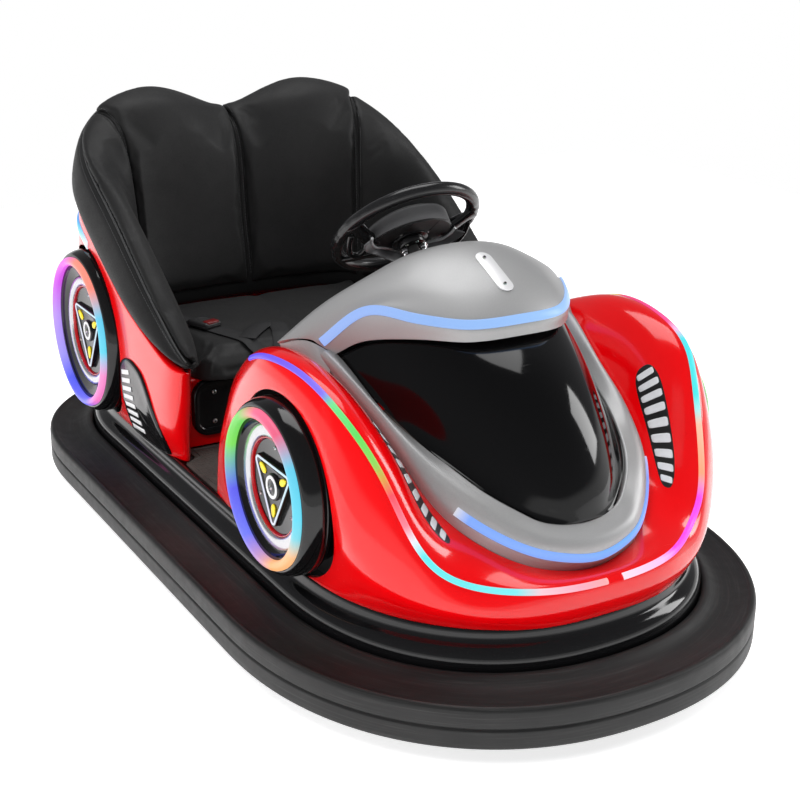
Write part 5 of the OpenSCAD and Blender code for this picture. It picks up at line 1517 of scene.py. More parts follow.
# ------------------------------------------------------------------ small parts
def build_trims(A_rear):
    # side trims: gloss black rounded panel with plain pale bars, lying on the body in front of the rear show wheel
    G = A_rear
    mid = (G.shape[0] - 1) // 2
    for s in (-1, 1):
        def surf(y, z):
            """Point and outward normal of the rear body's side at (y, z)."""
            half = G[mid:] if s > 0 else G[:mid + 1][::-1]
            N = normals_of(G)
            Nh = N[mid:] if s > 0 else N[:mid + 1][::-1]
            d = (half[..., 1] - y) ** 2 + (half[..., 2] - z) ** 2 + (np.sign(half[..., 0]) != s) * 10 + (np.abs(half[..., 0]) < 0.3) * 10
            w = 1.0 / (d + 1e-6) ** 2
            w /= w.sum()
            p = (half * w[..., None]).sum((0, 1)); q = (Nh * w[..., None]).sum((0, 1))
            return np.array([p[0], y, z]), q / np.linalg.norm(q)
        # outline in (y, z), from the photo's proportions
        out = smooth2([(0.345, 0.209), (0.240, 0.209), (0.178, 0.209), (0.166, 0.218), (0.163, 0.262), (0.170, 0.308), (0.187, 0.354), (0.215, 0.388), (0.258, 0.401), (0.292, 0.400), (0.322, 0.388), (0.334, 0.366), (0.341, 0.310), (0.351, 0.255), (0.355, 0.222)], 5, closed=True)
        c = out.mean(0)
        V, F = [], []
        prof = [(1.0, 0.0002), (1.0, 0.0022), (0.985, 0.0042), (0.95, 0.0052), (0.90, 0.0055), (0.84, 0.0046), (0.5, 0.0044), (0.1, 0.0044)]
        n = len(out)
        for k, h in prof:
            for p in out:
                q = c + (p - c) * k
                P, Nn = surf(q[0], q[1])
                V.append(tuple(P + Nn * h))
        for i in range(len(prof) - 1):
            for j in range(n):
                F.append((i * n + j, i * n + (j + 1) % n, (i + 1) * n + (j + 1) % n, (i + 1) * n + j))
        F.append(tuple((len(prof) - 1) * n + j for j in range(n)))
        panel = mesh_object("panel", V, F, MAT["black_gloss"])
        bm = bmesh.new(); bm.from_mesh(panel.data)
        bmesh.ops.recalc_face_normals(bm, faces=bm.faces)
        bm.to_mesh(panel.data); bm.free()
        bits = [panel]
        def cell(poly):
            P = np.array(poly); cc = P.mean(0)
            V = []
            for k, h in ((1.0, 0.0048), (1.0, 0.0056), (0.93, 0.0060)):
                for p in P:
                    q = cc + (p - cc) * k
                    a, nn = surf(q[0], q[1]); V.append(tuple(a + nn * h))
            m = len(P)
            F = [(i * m + j, i * m + (j + 1) % m, (i + 1) * m + (j + 1) % m, (i + 1) * m + j) for i in range(2) for j in range(m)]
            F.append(tuple(2 * m + j for j in range(m)))
            o = mesh_object("cell", V, F, MAT["decal_white"])
            bm = bmesh.new(); bm.from_mesh(o.data); bmesh.ops.recalc_face_normals(bm, faces=bm.faces); bm.to_mesh(o.data); bm.free()
            return o
        # one column of plain slanted bars, shorter towards the rounded top
        for i in range(8):
            z0 = 0.2215 + 0.0192 * i
            ya, yb = 0.337 - 0.0022 * i, 0.258 + 0.0030 * i
            bits.append(cell([(ya, z0), (yb, z0 + 0.011), (yb, z0 + 0.0215), (ya, z0 + 0.0105)]))
        put(join("side_trim_left" if s > 0 else "side_trim_right", bits), "car", "show_black", "side_trims")
    # light strips on the upper edge of the rear body
    N = normals_of(G)
    for s in (-1, 1):
        rows = [mid + s * 12 * 3.80, mid + s * 12 * 2.25]
        P, Nn = along(G, rows, [14 * 0.20, 14 * 0.18], n=90, off=0.0005)
        if Nn[:, 0].mean() * s < 0:
            Nn = -Nn
        ribbon("rear_strip_left" if s > 0 else "rear_strip_right", P, Nn, 0.020, 0.0038, [(0, srgb(235, 245, 255)), (0.25, srgb(120, 215, 250)), (0.5, srgb(60, 160, 250)), (1, srgb(50, 110, 245))], "light_multi", "rear_lights")
more_materials()

# ------------------------------------------------------------------ footwell, pedal, seat belt
def merge(name, obs, body, slot, *nodes):
    put(join(name, obs), body, slot, *nodes)

def build_footwell():
    half = [(-0.340, 0.202), (-0.340, 0.156), (-0.348, 0.144), (-0.368, 0.134), (-0.3735, 0.122), (-0.3740, 0.060), (-0.3740, -0.180), (-0.3735, -0.228), (-0.366, -0.238), (-0.350, -0.240)]
    pts = half + [(-x, y) for x, y in half[::-1]]
    mat = plate_with_holes("mat_sheet", pts, 0.1952, 0.2000, [], MAT["mat"], r=0.0016)
    bits = [mat]
    # raised border rib round the mat
    c = np.array(pts); cen = np.array([0.0, -0.02])
    inner = [(x - 0.012 * np.sign(x), y - (0.010 if y > 0.15 else (-0.010 if y < -0.2 else 0))) for x, y in pts]
    bits.append(tube("mat_border", [(x, y, 0.2000) for x, y in inner], 0.0018, MAT["mat"], k=8, closed=True, up=(0, 0, 1)))
    merge("floor_mat_sheet", bits, "car", "mat_brown", "floor_mat")
    # pedal: hinge block, arm plate and a ribbed rubber pad
    M = Matrix.Translation((-0.110, -0.300, 0.200)) 
    bits = [bevel_box("block", (0.0, 0.0, 0.0005), (0.090, 0.020, 0.0140), MAT["powder"], r=0.002)]
    R = Matrix.Translation((0.005, 0, 0.010)) @ Matrix.Rotation(math.radians(35), 4, "X")
    pl = bevel_box("plate", (0.0, -0.008, 0.0), (0.080, -0.003, 0.130), MAT["zinc"], r=0.0018); place(pl, R); bits.append(pl)
    rb = bevel_box("pad", (0.004, -0.0035, 0.030), (0.076, 0.0, 0.126), MAT["tyre"], r=0.0014); place(rb, R); bits.append(rb)
    for k in range(8):
        q = bevel_box("rib", (0.009, -0.0012, 0.036 + 0.0115 * k), (0.071, 0.0022, 0.0415 + 0.0115 * k), MAT["tyre"], r=0.0009, segs=2); place(q, R); bits.append(q)
    pin = tube("pin", [(-0.003, 0.010, 0.0085), (0.093, 0.010, 0.0085)], 0.0042, MAT["zinc"], k=20, up=(0, 0, 1)); bits.append(pin)
    for x in (0.012, 0.078):
        bits.append(bolt((x, 0.0100, 0.0138), (0, 0, 1), r=0.0035, h=0.003))
    merge("pedal_assembly", [place(b, M) for b in bits], "car", "steel_bright", "pedal")

def build_belt(cush):
    t = bvh_of(cush)
    def top(x, y, off):
        h = t.ray_cast(Vector((x, y, 0.60)), Vector((0, 0, -1)), 0.4)
        return (x, y, (h[0].z if h[0] is not None else 0.412) + off)
    def strap(name, path, w, th, mat, n=90):
        P = cr(np.array(path, float), 16)
        P = resample(P, n)
        Q = np.array([top(x, y, th * 0.5 + 0.0006) for x, y in P[:, :2]])
        Q[:, 2] = fair(Q[:, 2:3], 10)[:, 0]
        h = th / 2
        pr = [(-w / 2, -h * 0.5), (-w / 2 + 0.0012, -h), (w / 2 - 0.0012, -h), (w / 2, -h * 0.5), (w / 2, h * 0.5), (w / 2 - 0.0012, h), (0, h * 1.25), (-w / 2 + 0.0012, h), (-w / 2, h * 0.5)]
        return sweep(name, Q, pr, mat, up=(0, 0, 1)), Q
    bits = []
    s1, Q1 = strap("strap_a", [(-0.262, 0.500), (-0.255, 0.450), (-0.243, 0.400), (-0.233, 0.376)], 0.046, 0.0030, MAT["webbing"])
    s2, Q2 = strap("strap_b", [(-0.214, 0.330), (-0.198, 0.285), (-0.178, 0.235), (-0.160, 0.190), (-0.152, 0.176)], 0.046, 0.0030, MAT["webbing"])
    bits += [s1, s2]
    s3, Q3 = strap("strap_c", [(-0.178, 0.225), (-0.140, 0.262), (-0.105, 0.290), (-0.080, 0.282), (-0.086, 0.245), (-0.100, 0.210), (-0.108, 0.186)], 0.040, 0.0026, MAT["webbing"])
    bits.append(place(s3, Matrix.Translation((0, 0, 0.0026))))
    # buckle: rounded case with a dark red press button and a pale tongue
    z = top(-0.224, 0.352, 0.0)[2] + 0.0014
    M = Matrix.Translation((-0.224, 0.352, z)) @ Matrix.Rotation(math.radians(19), 4, "Z")
    case = bevel_box("case", (-0.0250, -0.0330, 0.0), (0.0250, 0.0330, 0.0165), MAT["plastic"], r=0.0062, segs=5)
    btn = bevel_box("button", (-0.0170, -0.0320, 0.0090), (0.0170, -0.0120, 0.0188), MAT["red_part"], r=0.0030, segs=4)
    # black strip at the case's mouth: painted shade for the opening of the tongue slot
    slot = bevel_box("slot", (-0.0185, -0.0338, 0.0060), (0.0185, -0.0300, 0.0085), MAT["black_decal_and_hole_shade"], r=0.0006, segs=2)
    tongue = bevel_box("tongue", (-0.0185, 0.0290, 0.0045), (0.0185, 0.0430, 0.0075), MAT["chrome"], r=0.0012, segs=3)
    rib = [bevel_box("rib", (-0.0150, -0.0020 + 0.0080 * k, 0.0155), (0.0150, 0.0010 + 0.0080 * k, 0.0174), MAT["plastic"], r=0.0007, segs=2) for k in range(3)]
    bits += [place(b, M) for b in [case, btn, slot, tongue] + rib]
    merge("seat_belt_buckle", bits, "car", "matt_black", "belt_buckle")

# ------------------------------------------------------------------ dashboard and steering column
def build_dash():
    tab = np.array([
      [[0, -310, 560], [90, -302, 555], [170, -284, 545], [246, -255, 520], [316, -185, 480]],
      [[0, -300, 660], [90, -292, 650], [170, -276, 625], [246, -250, 590], [318, -205, 530]],
      [[0, -330, 722], [90, -320, 708], [170, -304, 672], [242, -276, 622], [316, -250, 556]]], float) * MM
    rows = np.array([np.concatenate([w[:0:-1] * np.array([-1, 1, 1]), w]) for w in tab])
    G = relax(net(rows, 14, 10), 6)
    c = lathe("cut", [(0, -0.30), (0.024, -0.30), (0.024, 0.0), (0, 0.0)], None, n=48); place(c, steer_matrix())
    ob = shell("dash", G, 0.004, MAT["plastic"], edge=0.0012, cut=[c], segs=2)
    drop(c)
    bits = [ob]
    # four round knobs, two on either side of the column
    def on(x, z):
        i, j = np.unravel_index(((G[..., 0] - x) ** 2 + (G[..., 2] - z) ** 2).argmin(), G.shape[:2])
        N = normals_of(G)[i, j]
        N = N if N[1] > 0 else -N
        return Vector(G[i, j]), Vector(N)
    for x, z, r in ((-0.130, 0.640, 0.016), (0.130, 0.640, 0.016), (-0.130, 0.590, 0.010), (0.130, 0.590, 0.010)):
        p, n = on(x, z)
        Mx = n.to_track_quat("Z", "Y").to_matrix().to_4x4(); Mx.translation = p + n * 0.0004
        q = lathe("knob", [(0, 0.0105), (r * 0.55, 0.0105), (r * 0.66, 0.0092), (r * 0.70, 0.0040), (r * 0.96, 0.0032), (r, 0.0018), (r, -0.002), (0, -0.002)], MAT["rim_black"], n=48, close=False)
        bits.append(place(q, Mx))
    merge("dashboard_panel", bits, "car", "matt_black", "dashboard")

def build_column():
    M = steer_matrix()
    js = (-0.150 + 0.490) / math.sin(math.radians(43.0))
    col = lathe("column", [(0.0122, -0.0670), (0.0190, -0.0670), (0.0200, -0.0685), (0.0200, -0.0900), (0.0188, -0.0915), (0.0188, -0.4180), (0.0200, -0.4240), (0.0320, -0.4262), (0.0340, -0.4280), (0.0340, -0.4445), (0.0330, -0.4460), (0.0122, -0.4460)], MAT["powder"], n=64)
    bits = [col]
    # rubber bellows where the column passes the dashboard
    prof = [(0.0202, -0.165)]
    for k in range(7):
        z = -0.166 - 0.007 * k
        prof += [(0.0300 + 0.0012 * k, z - 0.0022), (0.0300 + 0.0012 * k, z - 0.0034), (0.0240 + 0.0008 * k, z - 0.0058), (0.0240 + 0.0008 * k, z - 0.0068)]
    prof += [(0.0202, -0.2150)]
    bits.append(lathe("bellows", prof, MAT["tyre"], n=48))
    for k in range(4):
        a = math.radians(45 + 90 * k)
        bits.append(bolt((0.027 * math.cos(a), 0.027 * math.sin(a), -0.4278), (0, 0, 1), r=0.0036, h=0.0032))
    merge("steering_column_tube", [place(b, M) for b in bits], "car", "frame_steel", "steering_column")
    z0 = 0.022 - js
    sh = [lathe("rod", [(0, -0.0062), (0.0095, -0.0062), (0.0104, -0.0075), (0.0104, z0 + 0.020), (0, z0 + 0.020)], MAT["powder"], n=48, close=False),
          lathe("coupling", [(0.0098, z0 + 0.0265), (0.0140, z0 + 0.0265), (0.0149, z0 + 0.0255), (0.0149, z0 + 0.0160), (0.0132, z0 + 0.0150), (0.0132, z0 + 0.0115), (0.0149, z0 + 0.0105), (0.0149, z0 + 0.0012), (0.0138, z0 + 0.0002), (0, z0 + 0.0002), (0, z0 + 0.0265)], MAT["zinc"], n=48)]
    merge("steering_shaft_rod", [place(b, M) for b in sh], "steering_wheel", "steel_bright", "steering_shaft")

# ------------------------------------------------------------------ running gear
def build_chassis():
    rails = [(-190, -5, 40, 1250), (190, -5, 40, 1250), (0, -650, 420, 40), (0, -330, 340, 40), (0, 180, 340, 40), (0, 640, 420, 40),
             (-314, 300, 208, 40), (314, 300, 208, 40), (-314, -330, 208, 40), (314, -330, 208, 40), (0, -768, 40, 200), (0, 758, 40, 220)]
    bits = []
    for x, y, a, b in rails:
        bits.append(bevel_box("rail", ((x - a / 2) * MM, (y - b / 2) * MM, 0.078), ((x + a / 2) * MM, (y + b / 2) * MM, 0.118), MAT["powder"], r=0.0035, segs=3))
    for x in (-0.190, 0.190):
        for y in (-0.200, 0.180, 0.590):
            bits.append(bevel_box("post", (x - 0.020, y - 0.020, 0.1165), (x + 0.020, y + 0.020, 0.1828), MAT["powder"], r=0.003, segs=3))
            bits.append(bevel_box("weld", (x - 0.0225, y - 0.0225, 0.1165), (x + 0.0225, y + 0.0225, 0.1205), MAT["powder"], r=0.0019, segs=3))
        for y in (-0.150, 0.300):
            bits.append(bevel_box("jack", (x - 0.020, y - 0.030, 0.0702), (x + 0.020, y + 0.030, 0.0790), MAT["powder"], r=0.0015))
    # fillet welds where the cross rails meet the long ones
    for y in (-0.650, -0.330, 0.180, 0.640):
        for s in (-1, 1):
            for e in (-1, 1):
                bits.append(tube("weld", [(s * 0.1705, y + e * 0.0195, z) for z in np.linspace(0.081, 0.115, 8)], 0.0028, MAT["powder"], k=8, up=(0, 1, 0)))
    put(hoop("frame_hoop", [[104.2, 72], [104.2, 112], [105.4, 114], [110.6, 114], [112, 112.6], [112, 71.6], [110.6, 70.2], [105.6, 70.2]], MAT["powder"], n=260), "car", "frame_steel", "chassis_frame")
    for y in (-0.790, 0.790):
        bits.append(lathe("eye", [(0.0070, 0.0772), (0.0130, 0.0768), (0.0142, 0.0776), (0.0142, 0.1186), (0.0130, 0.1194), (0.0070, 0.1190)], MAT["zinc"], n=40))
        bits[-1].location = (0, 0, 0); place(bits[-1], Matrix.Translation((0, y, 0)))
    for s in (-1, 1):
        for y in (0.300, -0.330):
            for dx in (0.235, 0.385):
                bits.append(bolt((s * dx, y, 0.1178), (0, 0, 1), r=0.0060, h=0.005))
    merge("chassis_rails", bits, "car", "frame_steel", "chassis_frame")

def build_drive():
    T = Matrix.Translation((0, -0.490, 0))
    # bridge with the kingpin's bearing
    bits = [bevel_box("beam", (-0.199, -0.035, 0.1750), (0.199, 0.035, 0.1829), MAT["powder"], r=0.0018)]
    for s in (-1, 1):
        bits.append(bevel_box("leg", (min(s * 0.181, s * 0.199), -0.035, 0.1180), (max(s * 0.181, s * 0.199), 0.035, 0.1755), MAT["powder"], r=0.0025))
        for y in (-0.030, 0.030):
            bits.append(tube("weld", [(s * 0.180, y, z) for z in np.linspace(0.121, 0.172, 8)], 0.0026, MAT["powder"], k=8, up=(0, 1, 0)))
    bits.append(lathe("bearing", [(0.0131, 0.1702), (0.0225, 0.1702), (0.0238, 0.1715), (0.0238, 0.1850), (0.0222, 0.1865), (0.0222, 0.2120), (0.0232, 0.2135), (0.0232, 0.2185), (0.0220, 0.2198), (0.0150, 0.2198), (0.0142, 0.2180), (0.0131, 0.2180)], MAT["cast"], n=64))
    for k in range(4):
        a = math.radians(90 * k)
        bits.append(screw((0.0186 * math.cos(a), 0.0186 * math.sin(a), 0.2197), (0, 0, 1), 0.0026))
    merge("drive_bridge", [place(b, T) for b in bits], "car", "frame_steel", "drive_bracket")
    jz = 0.736 - (0.340 / math.sin(math.radians(43.0))) * math.cos(math.radians(43.0))
    f = [lathe("kingpin", [(0, 0.160), (0.0118, 0.160), (0.0120, 0.170), (0.0120, 0.222), (0.0112, 0.224), (0.0112, jz - 0.022), (0.0095, jz - 0.016), (0.0090, jz - 0.010), (0, jz - 0.010)], MAT["zinc"], n=48, close=False)]
    ball = [(0.016 * math.cos(a), jz + 0.016 * math.sin(a)) for a in np.linspace(-math.pi / 2, math.pi / 2, 20)]
    ball[0] = (0.0, ball[0][1]); ball[-1] = (0.0, ball[-1][1])
    f.append(lathe("ball", ball, MAT["chrome"], n=48, close=False))
    f.append(bevel_box("top", (-0.062, -0.034, 0.1520), (0.062, 0.034, 0.1620), MAT["powder"], r=0.0025))
    for s in (-1, 1):
        out = [(-0.026, 0.1535), (-0.026, 0.088)] + [(-0.026 * math.cos(t), 0.075 - 0.025 * math.sin(t)) for t in np.linspace(0, math.pi, 16)] + [(0.026, 0.088), (0.026, 0.1535)]
        n = len(out)
        V = [(s * 0.054 + dx, y, z) for dx in (-0.005, 0.005) for y, z in out]
        F = [tuple(range(n - 1, -1, -1)), tuple(range(n, 2 * n))] + [(i, (i + 1) % n, n + (i + 1) % n, n + i) for i in range(n)]
        ch = mesh_object("cheek", V, F, MAT["powder"])
        bm = bmesh.new(); bm.from_mesh(ch.data); bmesh.ops.recalc_face_normals(bm, faces=bm.faces); bm.to_mesh(ch.data); bm.free()
        cut = lathe("cut", [(0, -0.02), (0.009, -0.02), (0.009, 0.02), (0, 0.02)], None, n=32)
        place(cut, Matrix.Translation((s * 0.054, 0, 0.075)) @ Matrix.Rotation(math.radians(90), 4, "Y"))
        add_mod(ch, "BOOLEAN", operation="DIFFERENCE", object=cut, solver="EXACT"); apply_mods(ch); drop(cut)
        add_mod(ch, "BEVEL", width=0.0012, segments=2, limit_method="ANGLE", angle_limit=math.radians(50)); apply_mods(ch)
        ch.data.polygons.foreach_set("use_smooth", [True] * len(ch.data.polygons)); ch.data.set_sharp_from_angle(angle=math.radians(40))
        f.append(ch)
        for y in (-0.020, 0.020):
            f.append(bolt((s * 0.040, y, 0.1618), (0, 0, 1), r=0.0042, h=0.0036))
    merge("drive_fork_frame", [place(b, T) for b in f], "drive_unit", "frame_steel", "drive_fork")
    A = Matrix.Translation((0, -0.490, 0.075)) @ Matrix.Rotation(math.radians(90), 4, "Y")
    mt = [lathe("motor", [(0, 0.0622), (0.0340, 0.0622), (0.0368, 0.0634), (0.0376, 0.0650)] + [(r, 0.0680 + 0.0028 * k + d) for k in range(9) for r, d in ((0.0378, 0.0), (0.0378, 0.0012), (0.0352, 0.0013), (0.0352, 0.0027))] +
                [(0.0376, 0.0940), (0.0376, 0.0985), (0.0350, 0.1012), (0.0120, 0.1018), (0, 0.1018)], MAT["powder"], n=72, close=False)]
    for k in range(4):
        a = math.radians(45 + 90 * k)
        mt.append(screw((0.0285 * math.cos(a), 0.0285 * math.sin(a), 0.1011), (0, 0, 1), 0.0032))
    gl = lathe("gland", [(0, 0.0), (0.0066, 0.0), (0.0070, 0.0010), (0.0070, 0.0062), (0.0052, 0.0072), (0.0052, 0.0106), (0.0, 0.0106)], MAT["plastic"], n=24, close=False)
    place(gl, Matrix.Translation((-0.0370, 0, 0.0860)) @ Matrix.Rotation(math.radians(-90), 4, "Y")); mt.append(gl)
    merge("drive_motor_case", [place(b, A) for b in mt], "drive_unit", "matt_black", "drive_motor")
    hb = [lathe("hub", [(0, -0.0250), (0.0180, -0.0250), (0.0195, -0.0240), (0.0205, -0.0180), (0.0360, -0.0165), (0.0385, -0.0180), (0.0400, -0.0245), (0.0478, -0.0248), (0.0478, 0.0248), (0.0400, 0.0245), (0.0385, 0.0180), (0.0360, 0.0165), (0.0205, 0.0180), (0.0195, 0.0240), (0.0180, 0.0250), (0, 0.0250)], MAT["cast"], n=72, close=False),
          lathe("axle", [(0, -0.0580), (0.0070, -0.0580), (0.0084, -0.0566), (0.0084, 0.0566), (0.0070, 0.0580), (0, 0.0580)], MAT["zinc"], n=36, close=False)]
    for s in (-1, 1):
        for k in range(5):
            a = math.radians(72 * k)
            hb.append(bolt((0.0285 * math.cos(a), 0.0285 * math.sin(a), s * 0.0168), (0, 0, s), r=0.0034, h=0.003))
    merge("drive_hub_cast", [place(b, A) for b in hb], "drive_wheel", "wheel_hub", "drive_hub")
    put(place(solid_tyre("tyre", 0.048, 0.075, 0.025), A), "drive_wheel", "wheel_tyre", "drive_tyre")

def solid_tyre(name, ri, ro, w):
    """Solid rubber tyre with tread grooves round it and a bead on either side."""
    half = [(ri + 0.0002, w - 0.0004), (ri + 0.004, w), (ro - 0.0085, w - 0.0004), (ro - 0.0050, w - 0.0012), (ro - 0.0022, w - 0.0034), (ro - 0.0006, w - 0.0066), (ro, w - 0.0085)]
    gr = []
    for z in (0.55, 0.18):
        g = w * z
        gr += [(ro, g + 0.0020), (ro - 0.0030, g + 0.0010), (ro - 0.0030, g - 0.0010), (ro, g - 0.0020)]
    top = half + gr
    prof = top + [(r, -z) for r, z in top[::-1]]
    return lathe(name, prof, MAT["tyre"], n=96, sharp=35)

def build_rear_gear():
    T = Matrix.Translation((0, 0.500, 0.070)) @ Matrix.Rotation(math.radians(90), 4, "Y")
    ax = [place(lathe("rod", [(0, -0.2860), (0.0062, -0.2860), (0.0074, -0.2848), (0.0074, 0.2848), (0.0062, 0.2860), (0, 0.2860)], MAT["zinc"], n=36, close=False), T)]
    for s in (-1, 1):
        ax.append(bevel_box("hanger", (s * 0.190 - 0.014, 0.480, 0.0522), (s * 0.190 + 0.014, 0.520, 0.0925), MAT["powder"], r=0.0028))
        for y in (0.487, 0.513):
            ax.append(bolt((s * 0.190, y, 0.0524), (0, 0, -1), r=0.0042, h=0.0036))
    merge("rear_axle_rod", ax, "car", "steel_bright", "rear_axle")
    for nm, s in (("left", 1), ("right", -1)):
        A = Matrix.Translation((s * 0.250, 0.500, 0.070)) @ Matrix.Rotation(math.radians(90), 4, "Y")
        h = [lathe("hub", [(0.0081, -0.0218), (0.0160, -0.0218), (0.0172, -0.0205), (0.0176, -0.0150), (0.0300, -0.0138), (0.0325, -0.0150), (0.0338, -0.0214), (0.0398, -0.0218), (0.0398, 0.0218), (0.0338, 0.0214), (0.0325, 0.0150), (0.0300, 0.0138), (0.0176, 0.0150), (0.0172, 0.0205), (0.0160, 0.0218), (0.0081, 0.0218)], MAT["cast"], n=72)]
        for e in (-1, 1):
            for k in range(5):
                a = math.radians(72 * k + 18)
                h.append(bolt((0.0238 * math.cos(a), 0.0238 * math.sin(a), e * 0.0140), (0, 0, e), r=0.0030, h=0.0026))
        put(place(join("rear_hub_cast_" + nm, h), A), "rear_wheel_" + nm, "wheel_hub", "rear_hub_" + nm)
        t = solid_tyre("rear_tyre_rubber_" + nm, 0.040, 0.070, 0.022)
        put(place(t, A), "rear_wheel_" + nm, "wheel_tyre", "rear_tyre_" + nm)

def build_battery():
    x0, x1, y0, y1, z0, z1 = -0.170, 0.170, 0.330, 0.510, 0.196, 0.346
    bits = [bevel_box("case", (x0 + 0.002, y0 + 0.002, z0), (x1 - 0.002, y1 - 0.002, z1 - 0.034), MAT["plastic"], r=0.005, segs=4),
            bevel_box("lid", (x0, y0, z1 - 0.036), (x1, y1, z1 - 0.010), MAT["plastic"], r=0.004, segs=4)]
    for s in (-1, 1):
        bits.append(lathe("post", [(0, z1), (0.0070, z1), (0.0082, z1 - 0.0012), (0.0090, z1 - 0.0110), (0, z1 - 0.0110)], MAT["zinc"], n=32, close=False))
        place(bits[-1], Matrix.Translation((s * 0.130, 0.362, 0)))
        bits.append(bevel_box("handle", (s * 0.150 - 0.010, 0.400, z1 - 0.012), (s * 0.150 + 0.010, 0.440, z1 - 0.004), MAT["tyre"], r=0.003))
        for k in range(5):
            y = 0.350 + 0.035 * k
            bits.append(bevel_box("rib", (s * 0.1685 - 0.0012, y - 0.003, z0 + 0.012), (s * 0.1685 + 0.0012, y + 0.003, z1 - 0.040), MAT["plastic"], r=0.001, segs=2))
    for k in range(6):
        bits.append(lathe("plug", [(0, z1 - 0.0060), (0.0078, z1 - 0.0060), (0.0088, z1 - 0.0070), (0.0088, z1 - 0.0110), (0, z1 - 0.0110)], MAT["rim_black"], n=28, close=False))
        place(bits[-1], Matrix.Translation((-0.100 + 0.040 * k, 0.450, 0)))
    merge("battery_block", bits, "car", "matt_black", "battery")

def build_socket():
    M = Matrix.Translation((0, 0.863, 0.300)) @ Matrix.Rotation(math.radians(90), 4, "X")
    b = [lathe("socket", [(0.0088, 0.0), (0.0105, -0.0012), (0.0150, -0.0014), (0.0160, -0.0004), (0.0205, -0.0002), (0.0219, 0.0008), (0.0219, 0.0036), (0.0134, 0.0040), (0.0134, 0.0430), (0.0, 0.0430), (0.0, 0.0300), (0.0088, 0.0300)], MAT["plastic"], n=64)]
    for k in range(4):
        a = math.radians(45 + 90 * k)
        b.append(screw((0.0182 * math.cos(a), 0.0182 * math.sin(a), -0.0003), (0, 0, -1), 0.0022))
    for k in range(3):
        a = math.radians(90 + 120 * k)
        q = lathe("pin", [(0, 0.0120), (0.0011, 0.0124), (0.0013, 0.0134), (0.0013, 0.0302), (0, 0.0302)], MAT["zinc"], n=14, close=False)
        b.append(place(q, Matrix.Translation((0.0046 * math.cos(a), 0.0046 * math.sin(a), 0))))
    merge("charge_socket_body", [place(o, M) for o in b], "car", "matt_black", "charge_socket")

# ------------------------------------------------------------------ plain louvre panels on the fenders (net rows and columns)
def on_net(G, s, rc, h):
    rc = np.asarray(rc, float)
    m = (G.shape[0] - 1) // 2
    N = normals_of(G)
    r, c = m + s * 14 * rc[:, 0], 12 * rc[:, 1]
    i = np.clip(r.astype(int), 0, G.shape[0] - 2); j = np.clip(c.astype(int), 0, G.shape[1] - 2)
    u, v = (r - i)[:, None], (c - j)[:, None]
    f = lambda A: (1 - u) * (1 - v) * A[i, j] + u * (1 - v) * A[i + 1, j] + (1 - u) * v * A[i, j + 1] + u * v * A[i + 1, j + 1]
    n = f(N); n /= np.linalg.norm(n, axis=1, keepdims=True)
    return f(G) + n * h

def flat_patch(name, G, s, outline, h, mat, rings=6, step=0.05):
    P = np.array(outline, float)
    Q = []
    for a, b in zip(P, np.roll(P, -1, 0)):
        k = max(1, int(np.linalg.norm(b - a) / step))
        Q += [a + (b - a) * t / k for t in range(k)]
    Q = np.array(Q); n = len(Q); c = Q.mean(0)
    V, F = [], []
    lev = [(1.0, 0.00005), (1.0, h * 0.8), (0.992, h)] + [(1 - (q + 1) / rings, h) for q in range(rings - 1)]
    for k, hh in lev:
        V += [tuple(p) for p in on_net(G, s, c + (Q - c) * k, hh)]
    for i in range(len(lev) - 1):
        for j in range(n):
            F.append((i * n + j, i * n + (j + 1) % n, (i + 1) * n + (j + 1) % n, (i + 1) * n + j))
    F.append(tuple((len(lev) - 1) * n + j for j in range(n)))
    o = mesh_object(name, V, F, mat)
    bm = bmesh.new(); bm.from_mesh(o.data); bmesh.ops.recalc_face_normals(bm, faces=bm.faces)
    bm.to_mesh(o.data); bm.free()
    return o

def oval(cr_, cc_, hr, hc, p, n=48):
    """Superellipse outline about (cr_, cc_) in net rows and columns."""
    t = np.linspace(0, 2 * math.pi, n, endpoint=False)
    f = lambda v: np.sign(v) * np.abs(v) ** (2 / p)
    return np.stack([cr_ + hr * f(np.cos(t)), cc_ + hc * f(np.sin(t))], 1)

def build_louvres(G):
    """A black oval with a ladder of plain pale bars on top of each fender."""
    r0, c0, hr, hc, bars = 3.70, 4.38, 1.18, 0.27, 9
    for s, nm in ((1, "left"), (-1, "right")):
        bits = [flat_patch("louvre_field", G, s, oval(r0, c0, hr, hc, 2.8), 0.0006, MAT["black_decal_and_hole_shade"])]
        for i in range(bars):
            r = r0 + hr * 0.84 * (2 * i / (bars - 1) - 1)
            w = hc * (1 - abs((r - r0) / hr) ** 2.8) ** (1 / 2.8) * 0.84
            bits.append(flat_patch("bar", G, s, oval(r, c0, 0.072, w, 6.0, 24), 0.0010, MAT["decal_grey"], rings=3, step=0.06))
        put(join("fender_louvre_" + nm, bits), "car", "body_red", "front_body")

def build_cowl_skirts():
    """Small silver fillets that close the corner between the cowl's lower edge and each fender."""
    U = [(0.326, -0.242, 0.571), (0.315, -0.268, 0.581), (0.296, -0.304, 0.587), (0.264, -0.338, 0.566)]
    L = [(0.324, -0.247, 0.565), (0.317, -0.278, 0.553), (0.306, -0.322, 0.543), (0.286, -0.364, 0.534)]
    for s in (-1, 1):
        a, b = (resample(cr(np.array(q, float) * (s, 1, 1), 10), 40) for q in (U, L))
        t = np.linspace(0, 1, 9)[None, :, None]
        G = a[:, None] * (1 - t) + b[:, None] * t
        G[..., 2] += 0.004 * np.sin(np.pi * t[..., 0])
        put(shell("cowl_skirt_left" if s > 0 else "cowl_skirt_right", G, 0.003, MAT["silver"], edge=0.001), "car", "silver_paint", "cowl")

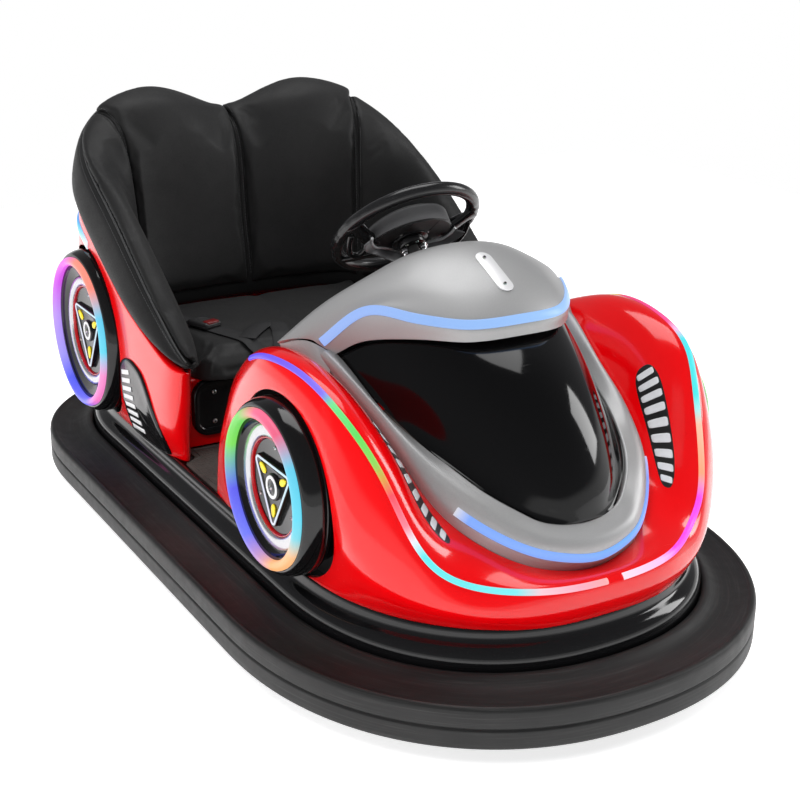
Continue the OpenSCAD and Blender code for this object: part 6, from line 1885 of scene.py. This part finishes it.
# ------------------------------------------------------------------ floor, light, world
def stage():
    me = bpy.data.meshes.new("studio_floor")
    s = 3.6
    me.from_pydata([(-s, -s, 0), (s, -s, 0), (s, s, 0), (-s, s, 0)], [], [(0, 1, 2, 3)])
    fl = bpy.data.objects.new("studio_floor", me)
    SC.collection.objects.link(fl)
    m = NT("studio_floor")
    m.set(Roughness=0.8, Specular_IOR_Level=0.05, Emission_Strength=0.74)
    m.b.inputs["Emission Color"].default_value = (1.0, 1.0, 1.0, 1.0)
    nz = m.noise(2.0, 3.0)
    m.color(m.mix(nz, (0.90, 0.90, 0.90), (0.93, 0.93, 0.93)))
    me.materials.append(m.mat)
    w = bpy.data.worlds.new("world"); SC.world = w
    w.use_nodes = True
    t = w.node_tree; t.nodes.clear()
    out = t.nodes.new("ShaderNodeOutputWorld"); bg = t.nodes.new("ShaderNodeBackground")
    tc = t.nodes.new("ShaderNodeTexCoord"); sep = t.nodes.new("ShaderNodeSeparateXYZ"); rp = t.nodes.new("ShaderNodeValToRGB")
    t.links.new(tc.outputs["Generated"], sep.inputs[0]); t.links.new(sep.outputs["Z"], rp.inputs[0])
    el = rp.color_ramp.elements
    el[0].position = 0.0; el[0].color = (1.0, 1.0, 1.0, 1)
    el[1].position = 0.06; el[1].color = (0.95, 0.95, 0.95, 1)
    e = el.new(0.16); e.color = (0.26, 0.26, 0.27, 1)
    e = el.new(1.0); e.color = (0.15, 0.15, 0.155, 1)
    t.links.new(rp.outputs[0], bg.inputs[0]); bg.inputs[1].default_value = 1.0
    t.links.new(bg.outputs[0], out.inputs[0])

def softbox(name, loc, target, sx, sy, power, spread=180):
    l = bpy.data.lights.new(name, "AREA")
    l.shape = "RECTANGLE"; l.size, l.size_y = sx, sy
    l.energy = power
    l.spread = math.radians(spread)
    ob = bpy.data.objects.new(name, l)
    ob.location = loc
    d = Vector(target) - Vector(loc)
    ob.rotation_euler = d.to_track_quat("-Z", "Y").to_euler()
    SC.collection.objects.link(ob)
    return ob

def lights():
    a = softbox("key_box", (-2.6, -3.0, 4.6), (0, 0, 0.3), 2.6, 1.6, 190)
    softbox("top_box", (0.6, 0.8, 4.6), (0, 0, 0.3), 3.2, 2.4, 85)
    d = softbox("left_strip", (-4.4, 0.6, 1.6), (-0.3, 0.1, 0.35), 0.8, 2.6, 60)
    softbox("right_box", (4.2, -1.6, 2.2), (0.2, -0.2, 0.4), 1.4, 2.2, 70)
    a.visible_glossy = d.visible_glossy = False      # these light the car without their mirror image in the lacquer
    SC.view_settings.view_transform = "Standard"
    SC.view_settings.look = "None"
    SC.view_settings.exposure = 0.0

stage()
lights()
build_base()
G_FRONT = build_front()
build_front_trim(G_FRONT)
G_FRAME, G_PANEL, G_COWL = build_hood()
G_REAR = build_rear()
build_show_wheels()
SEAT_A, SEAT_N, CUSH = build_seat()
build_steering()
build_trims(G_REAR)
#MORE#
build_louvres(G_FRONT)
build_cowl_skirts()
build_footwell()
build_belt(CUSH)
build_dash()
build_column()
build_chassis()
build_drive()
build_rear_gear()
build_battery()
build_socket()
